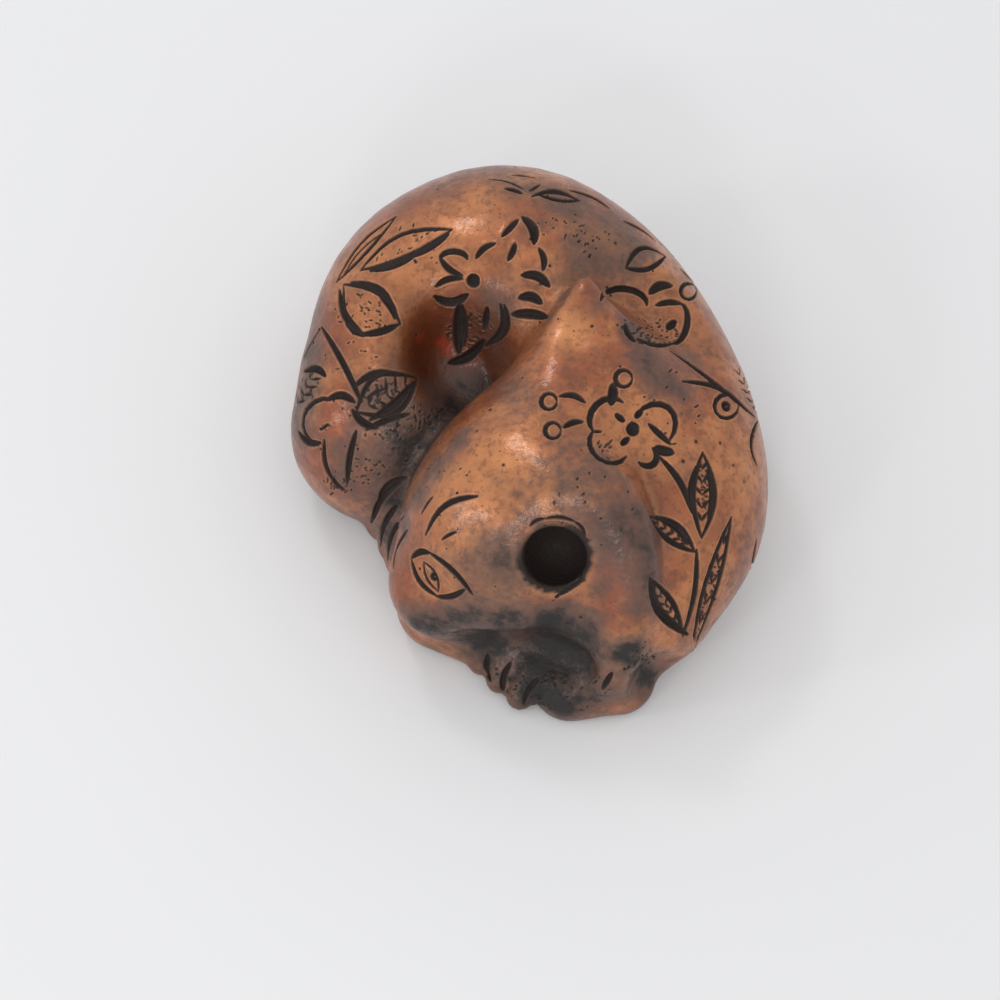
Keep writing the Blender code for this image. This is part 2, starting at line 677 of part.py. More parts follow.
def bore_cutter(collection, shift):
    """Closed cutter for the near ear: a round-ended bore with a dished mouth, turned on its axis."""
    points = [(radius, 0.0, height) for radius, height in bore_profile()]
    mesh = bpy.data.meshes.new("ear_bore")
    mesh.from_pydata(points, [(i, i + 1) for i in range(len(points) - 1)], [])
    cutter = bpy.data.objects.new("ear_bore", mesh)
    collection.objects.link(cutter)
    turning = cutter.modifiers.new("turning", "SCREW")
    turning.steps = BORE_SIDES
    turning.render_steps = BORE_SIDES
    turning.use_merge_vertices = True
    turning.merge_threshold = 0.00001
    cutter.location = Vector(EAR_CENTRE) * UNIT + shift
    cutter.rotation_mode = "QUATERNION"
    cutter.rotation_quaternion = Vector(EAR_AXIS).to_track_quat("Z", "Y")
    return cutter


def floor_cutter(collection, size):
    """Block below the floor plane, wider than the footprint."""
    mesh = bpy.data.meshes.new("floor_block")
    shape = bmesh.new()
    bmesh.ops.create_cube(shape, size=1.0)
    bmesh.ops.scale(shape, verts=shape.verts, vec=(2 * size, 2 * size, size))
    bmesh.ops.translate(shape, verts=shape.verts, vec=(0.0, 0.0, -size / 2))
    shape.to_mesh(mesh)
    shape.free()
    cutter = bpy.data.objects.new("floor_block", mesh)
    collection.objects.link(cutter)
    return cutter


def take_out(body, cutter):
    """Take the cutter out of the body, by an exact Boolean."""
    cutter.hide_render = True
    cutter.display_type = "WIRE"
    cut = body.modifiers.new(cutter.name, "BOOLEAN")
    cut.operation = "DIFFERENCE"
    cut.solver = "EXACT"
    cut.object = cutter


def thin_out(body, triangles):
    """Collapse edges until the body has about that many triangles, sparing the grooves."""
    thinning = body.modifiers.new("thinning", "DECIMATE")
    thinning.decimate_type = "COLLAPSE"
    thinning.ratio = triangles / (2 * len(body.data.vertices))
    thinning.use_collapse_triangulate = True


def curled_cat(parts, cutters):
    """The whole ornament, with its origin on the floor under the middle of its box."""
    body = rough_body(parts)
    mesh = freeze_modifiers(body)
    outer_skin(mesh)
    points, normal = settle_on_form(mesh)
    shift = Vector((-POSE_MIDDLE[0] * UNIT, -POSE_MIDDLE[1] * UNIT, -BASE_CUT))
    points = engrave(points, normal) + np.array(shift)
    mesh.vertices.foreach_set("co", points.ravel())
    mesh.update()
    mesh.materials.clear()
    mesh.materials.append(copper_material())
    mesh.shade_smooth()
    thin_out(body, SOLID_TRIANGLES)
    take_out(body, bore_cutter(cutters, shift))
    take_out(body, floor_cutter(cutters, LENGTH))
    return body


def main():
    """Build the ornament and its cutters in their collections."""
    clear_scene()
    curled_cat(new_collection("curled_cat_okimono"), new_collection("cutters"))


main()
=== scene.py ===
"""Dresses the curled copper-bronze animal: its engraved skin, patina with painted shade, highlights and
reflections, floor, light and camera.
"""

import bmesh
import bpy
import numpy as np
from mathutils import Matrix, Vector


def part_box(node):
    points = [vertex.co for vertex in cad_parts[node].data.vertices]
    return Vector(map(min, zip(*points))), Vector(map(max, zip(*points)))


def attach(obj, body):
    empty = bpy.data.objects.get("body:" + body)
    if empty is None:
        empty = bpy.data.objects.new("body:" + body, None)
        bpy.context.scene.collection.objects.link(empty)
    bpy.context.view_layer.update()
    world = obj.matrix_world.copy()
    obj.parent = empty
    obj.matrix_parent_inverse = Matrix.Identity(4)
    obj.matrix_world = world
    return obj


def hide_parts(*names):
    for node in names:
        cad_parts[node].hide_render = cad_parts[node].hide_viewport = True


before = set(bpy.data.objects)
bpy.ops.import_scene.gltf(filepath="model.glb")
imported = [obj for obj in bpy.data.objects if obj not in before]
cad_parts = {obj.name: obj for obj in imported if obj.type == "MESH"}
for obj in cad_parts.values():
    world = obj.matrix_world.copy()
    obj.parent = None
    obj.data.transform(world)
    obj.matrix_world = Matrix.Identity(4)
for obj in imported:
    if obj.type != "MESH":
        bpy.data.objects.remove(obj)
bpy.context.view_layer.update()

bl_info = {
    "name": "Curled bronze animal",
    "version": (1, 0, 0),
    "blender": (4, 5, 0),
    "location": "3D View > Sidebar > Okimono",
    "description": "Engraved copper-bronze skin, patina and stage for a curled animal ornament",
    "category": "Object",
}

NODE = "curled_cat"
NODE_LOW, NODE_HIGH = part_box(NODE)

# Driving dimensions, in metres. The length is the solid's own.
LENGTH = NODE_HIGH[1] - NODE_LOW[1]
GROOVE_WIDTH = 0.00058
GROOVE_DEPTH = 0.00042
EAR_BORE = 0.0056
EAR_BORE_DEPTH = 0.0062
EAR_RIM_WIDTH = 0.0066
EAR_RIM_DEPTH = 0.0004
BASE_CUT = 0.0012

# The pose is laid out on an animal 53.77 units long, and UNIT turns its units to metres.
# POSE_MIDDLE is the middle of its footprint's box.
POSE_LENGTH = 53.77
POSE_MIDDLE = (-0.295, -4.988)
UNIT = LENGTH / POSE_LENGTH
BLEND_SOFT = 4.0 * UNIT
BLEND_MEDIUM = 2.0 * UNIT
BLEND_CLOSE = 1.4 * UNIT
BLEND_TOE = 0.7 * UNIT
BLEND_LIP = 0.5 * UNIT

# Spine of the curled body: x, y, z and girth radius from the loin round the back to the shoulder
SPINE = (
    (-12.6, 0.6, 10.6, 9.8),
    (-9.2, 7.6, 12.2, 11.0),
    (-2.6, 9.9, 13.0, 12.0),
    (3.2, 6.6, 12.6, 12.0),
    (7.8, 0.4, 12.2, 11.5),
    (10.8, -6.7, 11.4, 11.2),
    (11.6, -13.6, 10.4, 10.7),
    (8.6, -19.6, 8.4, 9.8),
)
SPINE_STATIONS = 40

# Ridge of the near ear's shell, over the bore and down the cheek: x, y, z and radius
EAR_SHELL = (
    (-0.5, -20.5, 20.6, 2.0),
    (3.6, -18.8, 22.4, 2.6),
    (7.2, -19.8, 21.4, 2.8),
    (8.8, -23.6, 17.5, 3.0),
    (8.6, -26.8, 13.0, 2.9),
    (7.4, -28.2, 7.0, 3.2),
)
EAR_SHELL_STATIONS = 14
EAR_CENTRE = (1.84, -24.98, 21.23)
EAR_AXIS = (-0.12, -0.60, 0.79)
EAR_LINE = np.array(EAR_AXIS) / np.linalg.norm(EAR_AXIS)
EAR_MOUTH = np.array(EAR_CENTRE) * UNIT

# Round masses and hollows, each as centre, radii, yaw and roll in degrees
HAUNCH = ((-13.2, -3.6, 8.6), (10.0, 8.9, 10.8), 8, 0)
BELLY = ((0.8, -6.0, 5.0), (15.4, 19.6, 7.5), 0, 0)
FLANK_HOLLOW = ((-6.4, -2.8, 22.4), (4.6, 6.4, 8.4), 38, 0)
NAPE_HOLLOW = ((12.0, -0.2, 25.6), (3.4, 8.5, 4.6), 52, 0)
SKULL = ((0.4, -15.2, 13.0), (11.2, 11.7, 12.0), -30, 0)
FAR_EAR_HOLLOW = ((3.7, -2.5, 27.6), (2.3, 3.5, 1.9), 12, 26)
UNDER_JAW = ((-0.6, -28.2, 8.6), (6.4, 2.4, 2.2), -12, 0)
CHEEK_POCKET = ((11.6, -29.6, 7.0), (2.4, 1.6, 2.8), 30, 0)

# Masses that taper from one ball to another, each ball as x, y, z and radius
FAR_EAR_TIP = (5.0, 1.6, 25.0, 0.7)
CROWN = ((1.6, -13.6, 13.8, 10.4), FAR_EAR_TIP)
NECK = ((8.2, -8.2, 14.2, 10.0), FAR_EAR_TIP)
MUZZLE = ((-3.2, -17.8, 11.5, 8.6), (-8.0, -21.0, 9.6, 5.4))
CHIN = ((-8.6, -20.6, 4.0, 4.2), (-3.6, -23.6, 3.0, 3.2))
FRONT_PAWS = (
    ((4.0, -23.5, 3.5, 5.2), (-0.4, -25.6, 2.6, 3.0)),
    ((9.0, -23.0, 4.5, 5.0), (4.0, -28.0, 3.4, 3.5)),
    ((3.5, -28.4, 2.6, 3.2), (8.2, -27.8, 3.2, 3.6)),
)
HIND_PAW = ((-11.6, -8.2, 5.6, 4.6), (-10.2, -15.6, 4.8, 3.0))
FRONT_TOES = (
    ((-3.6, -24.4, 4.6, 1.2), (-4.7, -26.0, 2.6, 1.2)),
    ((-1.9, -25.8, 4.8, 1.3), (-3.0, -27.8, 2.6, 1.3)),
    ((0.3, -27.2, 4.8, 1.4), (-1.0, -29.4, 2.6, 1.4)),
)
HIND_TOES = (
    ((-12.9, -9.4, 7.2, 1.5), (-14.3, -11.3, 3.0, 1.5)),
    ((-12.1, -11.2, 7.2, 1.4), (-13.4, -13.5, 3.0, 1.4)),
    ((-11.7, -12.9, 7.2, 1.3), (-12.8, -15.1, 3.0, 1.3)),
    ((-11.4, -14.4, 7.0, 1.3), (-12.2, -16.4, 3.0, 1.3)),
)


def lengths(vectors):
    """Length of each vector in an array whose last axis is x, y, z."""
    return np.sqrt((vectors * vectors).sum(-1))


def smooth_min(a, b, blend):
    """Union of two distance fields, with a fillet about as wide as blend."""
    share = np.clip(0.5 + 0.5 * (b - a) / blend, 0.0, 1.0)
    return b * (1.0 - share) + a * share - blend * share * (1.0 - share)


def smooth_cut(a, b, blend):
    """Distance field a with b taken out of it, with a rounded lip."""
    return -smooth_min(-a, b, blend)


def turned(yaw, roll):
    """Rotation by roll about X, then by yaw about Z, in degrees."""
    yaw, roll = np.radians((yaw, roll))
    about_z = np.array(((np.cos(yaw), -np.sin(yaw), 0), (np.sin(yaw), np.cos(yaw), 0), (0, 0, 1)))
    about_x = np.array(((1, 0, 0), (0, np.cos(roll), -np.sin(roll)), (0, np.sin(roll), np.cos(roll))))
    return about_z @ about_x


def ellipsoid(points, mass):
    """Distance, near enough for blending, to a round mass given in pose units."""
    centre, radii, yaw, roll = mass
    local = (points - np.array(centre) * UNIT) @ turned(yaw, roll)
    radii = np.array(radii) * UNIT
    reach = lengths(local / radii)
    slope = lengths(local / radii ** 2) + 1e-9
    return reach * (reach - 1.0) / slope


def limbs(points, starts, ends):
    """Distance to each of several limbs: two spheres (x, y, z, radius) joined by their common cone."""
    axes = ends[:, :3] - starts[:, :3]
    span = (axes * axes).sum(1)
    taper = starts[:, 3] - ends[:, 3]
    slant = np.maximum(span - taper * taper, 1e-12)
    flat = points.reshape(-1, 3)
    along = flat @ axes.T - (starts[:, :3] * axes).sum(1)
    away = (flat * flat).sum(1)[:, None] - 2.0 * flat @ starts[:, :3].T + (starts[:, :3] ** 2).sum(1)
    across = np.maximum(away - along * along / span, 0.0)
    foot = along - np.sqrt(across) * taper * np.sqrt(span / slant)
    share = np.clip(foot / span, 0.0, 1.0)
    reach = np.sqrt(across + (along - share * span) ** 2 / span)
    nearest = reach - starts[:, 3] + share * taper
    return nearest.reshape(*points.shape[:-1], len(span))


def smooth_path(knots, stations):
    """Catmull-Rom curve through the knots, read at evenly spaced parameters."""
    knots = np.array(knots, dtype=float)
    ends = np.vstack((2 * knots[0] - knots[1], knots, 2 * knots[-1] - knots[-2]))
    where = np.linspace(0.0, len(knots) - 1 - 1e-9, stations)
    first = where.astype(int)
    t = (where - first)[:, None]
    a, b, c, d = (ends[first + step] for step in range(4))
    bend = (2 * a - 5 * b + 4 * c - d) * t ** 2
    swing = (3 * b - a - 3 * c + d) * t ** 3
    return 0.5 * (2 * b + (c - a) * t + bend + swing)


def chain(points, path):
    """Distance to a run of limbs along a path of x, y, z and radius."""
    return limbs(points, path[:-1], path[1:]).min(-1)


def unit_limb(points, ends):
    """A limb whose two spheres are given in pose units."""
    return chain(points, np.array(ends) * UNIT)


def body_field(points):
    """The curled trunk with its haunch, belly and the hollows of flank and nape."""
    field = chain(points, smooth_path(SPINE, SPINE_STATIONS) * UNIT)
    field = smooth_min(field, ellipsoid(points, HAUNCH), BLEND_CLOSE)
    field = smooth_min(field, ellipsoid(points, BELLY), BLEND_MEDIUM)
    field = smooth_cut(field, ellipsoid(points, FLANK_HOLLOW), BLEND_SOFT)
    return smooth_cut(field, ellipsoid(points, NAPE_HOLLOW), BLEND_SOFT)


def head_field(points):
    """The egg-shaped head with its muzzle, neck, pointed far ear and the near ear's shell."""
    field = smooth_min(ellipsoid(points, SKULL), unit_limb(points, CROWN), BLEND_MEDIUM)
    field = smooth_min(field, unit_limb(points, NECK), BLEND_MEDIUM)
    field = smooth_min(field, unit_limb(points, MUZZLE), BLEND_SOFT)
    shell = chain(points, smooth_path(EAR_SHELL, EAR_SHELL_STATIONS) * UNIT)
    field = smooth_min(field, shell, BLEND_SOFT)
    return smooth_cut(field, ellipsoid(points, FAR_EAR_HOLLOW), BLEND_MEDIUM)


def paw_field(points):
    """Chin, the front paws tucked under it and the hind paw beside them, each with its toes."""
    field = unit_limb(points, CHIN)
    for paw in (*FRONT_PAWS, HIND_PAW):
        field = smooth_min(field, unit_limb(points, paw), BLEND_CLOSE)
    for toe in FRONT_TOES + HIND_TOES:
        field = smooth_min(field, unit_limb(points, toe), BLEND_TOE)
    return field


def ear_bore_field(points):
    """The near ear's blind bore."""
    outside = np.append(EAR_MOUTH + EAR_LINE * EAR_BORE_DEPTH, EAR_BORE / 2)
    inside = np.append(EAR_MOUTH - EAR_LINE * (EAR_BORE_DEPTH - EAR_BORE / 2), EAR_BORE / 2)
    return chain(points, np.array((outside, inside)))


def ear_dish_field(points):
    """The shallow ball that dishes the bore's rim."""
    radius = EAR_RIM_WIDTH ** 2 / (8 * EAR_RIM_DEPTH) + EAR_RIM_DEPTH / 2
    return lengths(points - (EAR_MOUTH + EAR_LINE * (radius - EAR_RIM_DEPTH))) - radius


def form_field(points):
    """Distance to the whole smooth form, before it is engraved and cut flat below."""
    field = smooth_min(body_field(points), head_field(points), BLEND_CLOSE)
    field = smooth_min(field, paw_field(points), BLEND_CLOSE)
    field = smooth_cut(field, ellipsoid(points, UNDER_JAW), BLEND_MEDIUM)
    field = smooth_cut(field, ellipsoid(points, CHEEK_POCKET), BLEND_CLOSE)
    field = smooth_cut(field, ear_dish_field(points), BLEND_CLOSE)
    return smooth_cut(field, ear_bore_field(points), BLEND_LIP)


# Viewing charts: directions from which the carver's drawing is laid onto the form.
# A chart's u runs to the right and v up, in pose units, on a plane through the middle.
# The front chart, as azimuth and elevation in degrees, is the photo's view.
FRONT_CHART = (0.0, 60.0)
CHART_MIDDLE = (-2.9, -4.94, -2.85)
CHART_DISTANCE = 300.0
FRAME_WIDTH = 100.0
MARCH_STEPS = 90
CHASING_STROKES = 5
CUT_STATIONS = 9
RING_STATIONS = 13
# Shares of the groove's full width
PLAIN_CUT = 1.15
LEAF_CUT = 1.0
RING_CUT = 0.8
FINE_CUT = 0.62
BOLD_CUT = 1.7
EYE_CUT = 1.6

# Chisel cuts as (start u, start v, end u, end v, bow to the left of travel)
FACE_CUTS = (
    (-8.9, -5.8, -7.1, -5.3, 0.35), (-7.1, -5.3, -2.8, -9.5, 0.35), (-8.9, -5.9, -6.3, -9.7, -0.6),
    (-6.4, -9.7, -3.6, -9.0, -0.35), (-7.5, -3.5, -2.3, 0.4, 1.2), (5.6, -9.7, 8.3, -6.8, -0.5),
)
FINE_FACE_CUTS = (
    (-7.9, -1.4, -6.7, 0.4, 0.1), (-5.9, -4.0, -4.4, -3.2, 0.1), (-7.7, -6.2, -6.2, -9.2, 0.55),
    (-7.7, -6.2, -6.2, -9.2, -0.45),
)
TOE_CUTS = (
    (-1.2, -15.5, -1.0, -18.1, -0.25), (1.1, -16.3, 0.3, -19.1, -0.3), (3.8, -17.8, 2.4, -20.5, -0.2),
    (-9.9, 1.7, -12.9, -2.3, -0.5), (-10.3, -0.6, -12.0, -4.6, -0.5), (-9.6, -1.5, -11.3, -6.0, -0.5),
    (-9.3, -3.0, -10.7, -6.8, -0.4), (11.2, -17.3, 10.2, -19.0, 0.0),
)
STEM_CUTS = (
    (-17.9, 17.3, -13.9, 9.8, 0.2), (16.0, 4.3, 19.2, -1.2, 0.5), (19.7, -5.0, 18.3, -13.7, 0.5),
    (17.0, 15.0, 25.5, 8.3, 0.2), (18.3, 11.9, 24.6, 9.2, 0.8), (25.7, -4.0, 25.2, -6.8, 0.0),
    (0.5, 31.2, 2.2, 30.7, 0.1), (3.2, 30.4, 7.8, 30.0, 0.8), (7.0, 31.0, 10.9, 29.2, 0.3),
    (12.4, 27.9, 15.5, 26.0, 0.2), (18.1, 23.1, 19.2, 22.0, 0.0), (-13.4, 7.0, -9.0, 8.6, 0.2),
)
# Round petals, drawn as half ellipses: same five values
PETAL_CUTS = (
    (12.3, 9.8, 9.4, 6.9, -1.7), (9.3, 6.9, 12.7, 4.4, -1.8), (13.7, 8.6, 17.0, 6.0, 2.5),
    (13.9, 3.8, 15.3, 5.2, -1.2), (-6.0, 24.1, -3.3, 24.1, 0.8), (10.1, 20.0, 14.7, 19.5, 1.4),
    (18.1, 19.7, 17.2, 15.7, 1.1), (-16.9, 10.1, -18.2, 5.5, -2.2),
)
# Loose petal and stamen cuts of the same flowers
BLOSSOM_CUTS = (
    (14.9, 7.6, 17.1, 5.6, 0.0), (15.3, 5.2, 17.4, 4.7, -0.2), (6.0, 10.4, 8.5, 9.8, 0.4),
    (6.4, 7.3, 8.3, 7.9, 0.2), (12.4, 7.9, 11.6, 8.6, 0.0), (12.9, 6.2, 12.2, 5.6, 0.0),
    (13.6, 8.3, 14.2, 9.0, 0.0), (-3.8, 22.4, -6.0, 24.2, 0.3), (-2.4, 24.2, -0.5, 25.7, 0.3),
    (-6.4, 21.3, -3.8, 22.1, 0.35), (0.2, 26.4, 1.8, 28.1, 0.0), (1.5, 25.7, 0.8, 24.0, 0.1),
    (3.9, 25.2, 4.3, 23.0, 0.3), (0.0, 19.5, -1.5, 15.3, 0.9), (-1.3, 19.2, -1.6, 17.0, 0.0),
    (15.6, 19.5, 18.2, 19.7, 0.2), (17.2, 15.7, 13.8, 16.2, 0.4), (-17.6, 6.0, -15.9, 1.0, -0.7),
    (-14.4, 6.9, -15.3, 1.6, -0.2),
)
# The broadest cuts, where the chisel went in deep
BOLD_CUTS = (
    (11.3, 11.6, 11.1, 9.6, 0.1), (-6.5, 20.3, -3.3, 20.5, -0.7), (2.3, 28.3, 3.4, 25.7, 0.5),
    (2.2, 22.5, 4.9, 21.4, 0.5), (1.9, 20.2, 4.1, 19.7, 0.4), (1.2, 18.5, 4.7, 18.3, 0.2),
    (-4.1, 19.5, -4.1, 14.7, -0.1), (-5.0, 13.7, -1.7, 15.9, -0.5), (15.0, 20.7, 17.2, 21.5, 0.35),
    (18.8, -13.5, 15.2, -8.0, 1.0),
)
# Leaves as (base u, base v, tip u, tip v, left bow, right bow, chased)
LEAVES = (
    (-14.0, 23.0, -4.8, 27.1, 1.6, 0.6, False), (-16.4, 21.8, -10.4, 28.4, 0.8, 0.2, False),
    (-15.7, 21.6, -9.9, 17.6, 1.3, 3.3, False), (-14.4, 8.8, -8.2, 12.2, 2.2, 2.0, True),
    (-20.9, 8.7, -18.0, 13.9, 0.6, 1.4, True), (12.6, 23.2, 16.6, 24.4, 1.5, 0.7, False),
    (26.3, 7.7, 23.5, 13.7, 0.6, 0.5, True), (20.2, -3.8, 20.3, 4.8, 0.9, 1.3, True),
    (19.5, -5.2, 15.0, -1.6, 0.7, 1.0, True), (18.3, -13.2, 15.0, -7.8, 1.1, 0.7, True),
    (19.2, -15.2, 23.2, -1.7, 0.6, 0.6, True), (19.8, -14.8, 24.3, -4.7, 0.2, 0.9, False),
    (25.7, 3.5, 25.8, 7.9, 0.6, 0.7, False), (3.7, 30.7, 8.0, 30.0, 0.4, 0.3, False),
)
# Rings as (u, v, radius, inner dot)
RINGS = (
    (4.9, 9.9, 0.8, False), (5.3, 7.0, 0.8, False), (12.4, 12.2, 0.85, False), (18.9, 20.9, 0.8, False),
    (22.7, 9.4, 1.2, True), (-6.6, -7.7, 0.25, False),
)
FLOWER_EYES = ((13.4, 7.1), (-2.6, 21.9))

# Flower sprays on the sides that the front chart can't reach:
# chart azimuth and elevation, u, v, turn in degrees, and size
HIDDEN_SPRAYS = (
    (180.0, 20.0, 6.0, 4.0, 20.0, 0.8), (180.0, 20.0, -10.0, 4.0, 200.0, 0.8),
    (-110.0, 20.0, 4.0, 3.0, -30.0, 0.7), (110.0, 20.0, -5.0, 2.0, 160.0, 0.7),
)
SPRAY_STEM = (1.5, -4.0, 8.5, -8.5, 0.9)
SPRAY_LEAVES = ((4.5, -5.5, 9.5, -3.5, 1.0, 1.0, False), (3.6, -6.0, 3.0, -11.0, 0.9, 0.9, True))


def chart_axes(azimuth, elevation):
    """The chart's right, up and inward directions, seen from that azimuth and elevation."""
    azimuth, elevation = np.radians((azimuth, elevation))
    right = np.array((np.cos(azimuth), np.sin(azimuth), 0.0))
    level = np.array((-np.sin(azimuth), np.cos(azimuth), 0.0))
    inward = level * np.cos(elevation) - np.array((0.0, 0.0, np.sin(elevation)))
    return right, np.cross(right, inward), inward


def onto_form(chart, drawn):
    """Chart points (u, v) carried along sight lines onto the smooth form, in metres."""
    right, up, inward = chart_axes(*chart)
    middle = np.array(CHART_MIDDLE)
    eye = middle - inward * CHART_DISTANCE
    drawn = np.asarray(drawn, dtype=float)
    sight = middle + drawn[:, :1] * right + drawn[:, 1:] * up - eye
    sight /= lengths(sight)[:, None]
    eye = eye * UNIT
    reach = np.full(len(drawn), (CHART_DISTANCE - 60.0) * UNIT)
    for _ in range(MARCH_STEPS):
        reach = reach + 0.8 * np.clip(form_field(eye + sight * reach[:, None]), -UNIT, 8 * UNIT)
    found = reach < (CHART_DISTANCE + 60.0) * UNIT
    return eye + sight * reach[:, None], found


def spun(degrees):
    """The two axes, as rows, of a drawing turned by that angle."""
    angle = np.radians(degrees)
    return np.array(((np.cos(angle), np.sin(angle)), (-np.sin(angle), np.cos(angle))))


def bowed(cut, rounded):
    """One chisel cut: a sine arch over its chord, or half an ellipse where it is rounded."""
    start = np.array(cut[0:2])
    end = np.array(cut[2:4])
    chord = end - start
    left = np.array((-chord[1], chord[0])) / np.linalg.norm(chord)
    share = np.linspace(0.0, 1.0, CUT_STATIONS)[:, None]
    along = 0.5 - 0.5 * np.cos(np.pi * share) if rounded else share
    return start + chord * along + left * cut[4] * np.sin(np.pi * share)


def ring(u, v, radius):
    """A closed circle on a chart."""
    angle = np.linspace(0.0, 2 * np.pi, RING_STATIONS)[:, None]
    return np.hstack((u + radius * np.cos(angle), v + radius * np.sin(angle)))


def leaf_lines(leaf):
    """A leaf's two edges, with its vein and side strokes where it is chased."""
    base_u, base_v, tip_u, tip_v, left, right, chased = leaf
    lines = [(bowed((base_u, base_v, tip_u, tip_v, bow), False), LEAF_CUT) for bow in (left, -right)]
    if not chased:
        return lines
    base = np.array((base_u, base_v))
    chord = np.array((tip_u, tip_v)) - base
    side = np.array((-chord[1], chord[0])) / np.linalg.norm(chord)
    for share in np.linspace(0.2, 0.8, CHASING_STROKES):
        swell = np.sin(np.pi * share) * 0.7
        for bow in (left, -right):
            foot = base + chord * share
            outer = base + chord * (share + 0.10) + side * bow * swell
            lines.append((np.linspace(foot, outer, 3), FINE_CUT))
    return lines


def spray_lines(u, v, turn, size):
    """A five-petalled flower on a stem with two leaves, at a place on a chart."""
    centre = np.array((u, v))
    lines = []

    def placed(points):
        return centre + np.asarray(points) @ spun(turn) * size

    for petal in range(5):
        outward, across = spun(72 * petal + 18)
        start = outward * 1.9 + across * 1.2
        end = outward * 1.9 - across * 1.2
        lines.append((placed(bowed((*start, *end, 2.2), True)), LEAF_CUT))
        lines.append((placed(np.linspace(outward * 1.0, outward * 1.8, 3)), FINE_CUT))
    lines.append((placed(ring(0.0, 0.0, 0.3)), EYE_CUT))
    lines.append((placed(bowed(SPRAY_STEM, False)), LEAF_CUT))
    for leaf in SPRAY_LEAVES:
        lines += [(placed(points), width) for points, width in leaf_lines(leaf)]
    return lines


def cut_lines(table, width, rounded=False):
    """A table's chisel cuts, as (points, share of the groove width)."""
    return [(bowed(cut, rounded), width) for cut in table]


def front_lines():
    """The lines on the front chart that the solid carries too."""
    lines = cut_lines(FACE_CUTS + TOE_CUTS + STEM_CUTS + BLOSSOM_CUTS, PLAIN_CUT)
    lines += cut_lines(FINE_FACE_CUTS, FINE_CUT) + cut_lines(BOLD_CUTS, BOLD_CUT)
    lines += cut_lines(PETAL_CUTS, PLAIN_CUT, rounded=True)
    for leaf in LEAVES:
        lines += leaf_lines(leaf)
    for u, v, radius, dotted in RINGS:
        lines.append((ring(u, v, radius), RING_CUT))
        if dotted:
            lines.append((ring(u, v, radius * 0.25), LEAF_CUT))
    lines += [(ring(u, v, 0.3), EYE_CUT) for u, v in FLOWER_EYES]
    return lines


def carved_lines():
    """Every groove as an array of x, y, z and half-width, in metres on the smooth form."""
    drawings = [(FRONT_CHART, front_lines() + skin_lines())]
    for azimuth, elevation, u, v, turn, size in HIDDEN_SPRAYS:
        drawings.append(((azimuth, elevation), spray_lines(u, v, turn, size)))
    grooves = []
    for chart, lines in drawings:
        places, found = onto_form(chart, np.vstack([points for points, _ in lines]))
        first = 0
        for points, width in lines:
            last = first + len(points)
            share = np.linspace(0.0, 1.0, len(points))
            taper = 0.35 + 0.65 * np.sin(np.pi * share) ** 0.6
            half_width = 0.5 * GROOVE_WIDTH * width * taper
            if found[first:last].all():
                grooves.append(np.column_stack((places[first:last], half_width)))
            first = last
    return grooves


def groove_field(points, grooves, reach):
    """Distance from each point to the nearest groove's edge, negative inside it, up to reach."""
    field = np.full(len(points), reach)
    for groove in grooves:
        margin = reach + groove[:, 3].max()
        low = groove[:, :3].min(0) - margin
        high = groove[:, :3].max(0) + margin
        near = np.flatnonzero(((points > low) & (points < high)).all(1))
        if len(near) == 0:
            continue
        nearest = field[near]
        for start, end in zip(groove, groove[1:]):
            nearest = np.minimum(nearest, segment_field(points[near], start, end))
        field[near] = nearest
    return field


def segment_field(points, start, end):
    """Distance to a line piece, less its half-width, which changes evenly along it."""
    axis = end[:3] - start[:3]
    share = np.clip((points - start[:3]) @ axis / (axis @ axis + 1e-18), 0.0, 1.0)
    away = lengths(points - start[:3] - share[:, None] * axis)
    return away - start[3] - share * (end[3] - start[3])


# Finer cuts that only the skin carries, drawn on the front chart like the solid's:
# edges cut again broadly, single fine cuts, and patches of short punch strokes
BROAD_EDGES = (
    (-14.9, 21.8, -10.5, 18.2, 1.2), (-12.0, 20.4, -10.4, 18.2, 0.3), (-16.1, 21.0, -13.8, 16.7, -0.7),
    (-13.9, 16.6, -10.2, 17.5, -0.2), (-14.7, 11.3, -9.9, 12.5, 0.8), (-13.0, 8.0, -8.5, 11.8, -0.3),
    (-12.2, 8.4, -9.2, 10.8, -0.2), (-14.8, 9.0, -12.3, 7.2, -0.4), (-19.6, 12.9, -17.5, 12.4, 0.5),
    (-17.4, 10.0, -14.6, 9.8, 0.6), (-20.2, 6.8, -18.0, 5.7, -0.5), (-16.8, 2.3, -15.6, 1.0, -0.2),
    (-9.2, 24.3, -5.2, 26.6, -0.2), (-13.0, 23.0, -8.4, 24.6, -0.3), (-12.0, 0.2, -9.4, 2.2, 0.4),
    (0.4, 19.4, -1.0, 15.6, 0.9), (-3.8, 19.4, -3.7, 15.4, 0.1), (12.6, 17.6, 13.5, 15.9, -0.2),
    (15.6, 5.3, 17.3, 4.9, -0.1), (16.8, 17.2, 17.5, 17.9, 0.0), (19.9, 3.6, 19.5, -1.6, -0.5),
    (20.8, 3.0, 20.9, -1.8, 0.5), (16.0, -1.9, 18.8, -4.4, 0.5),
)
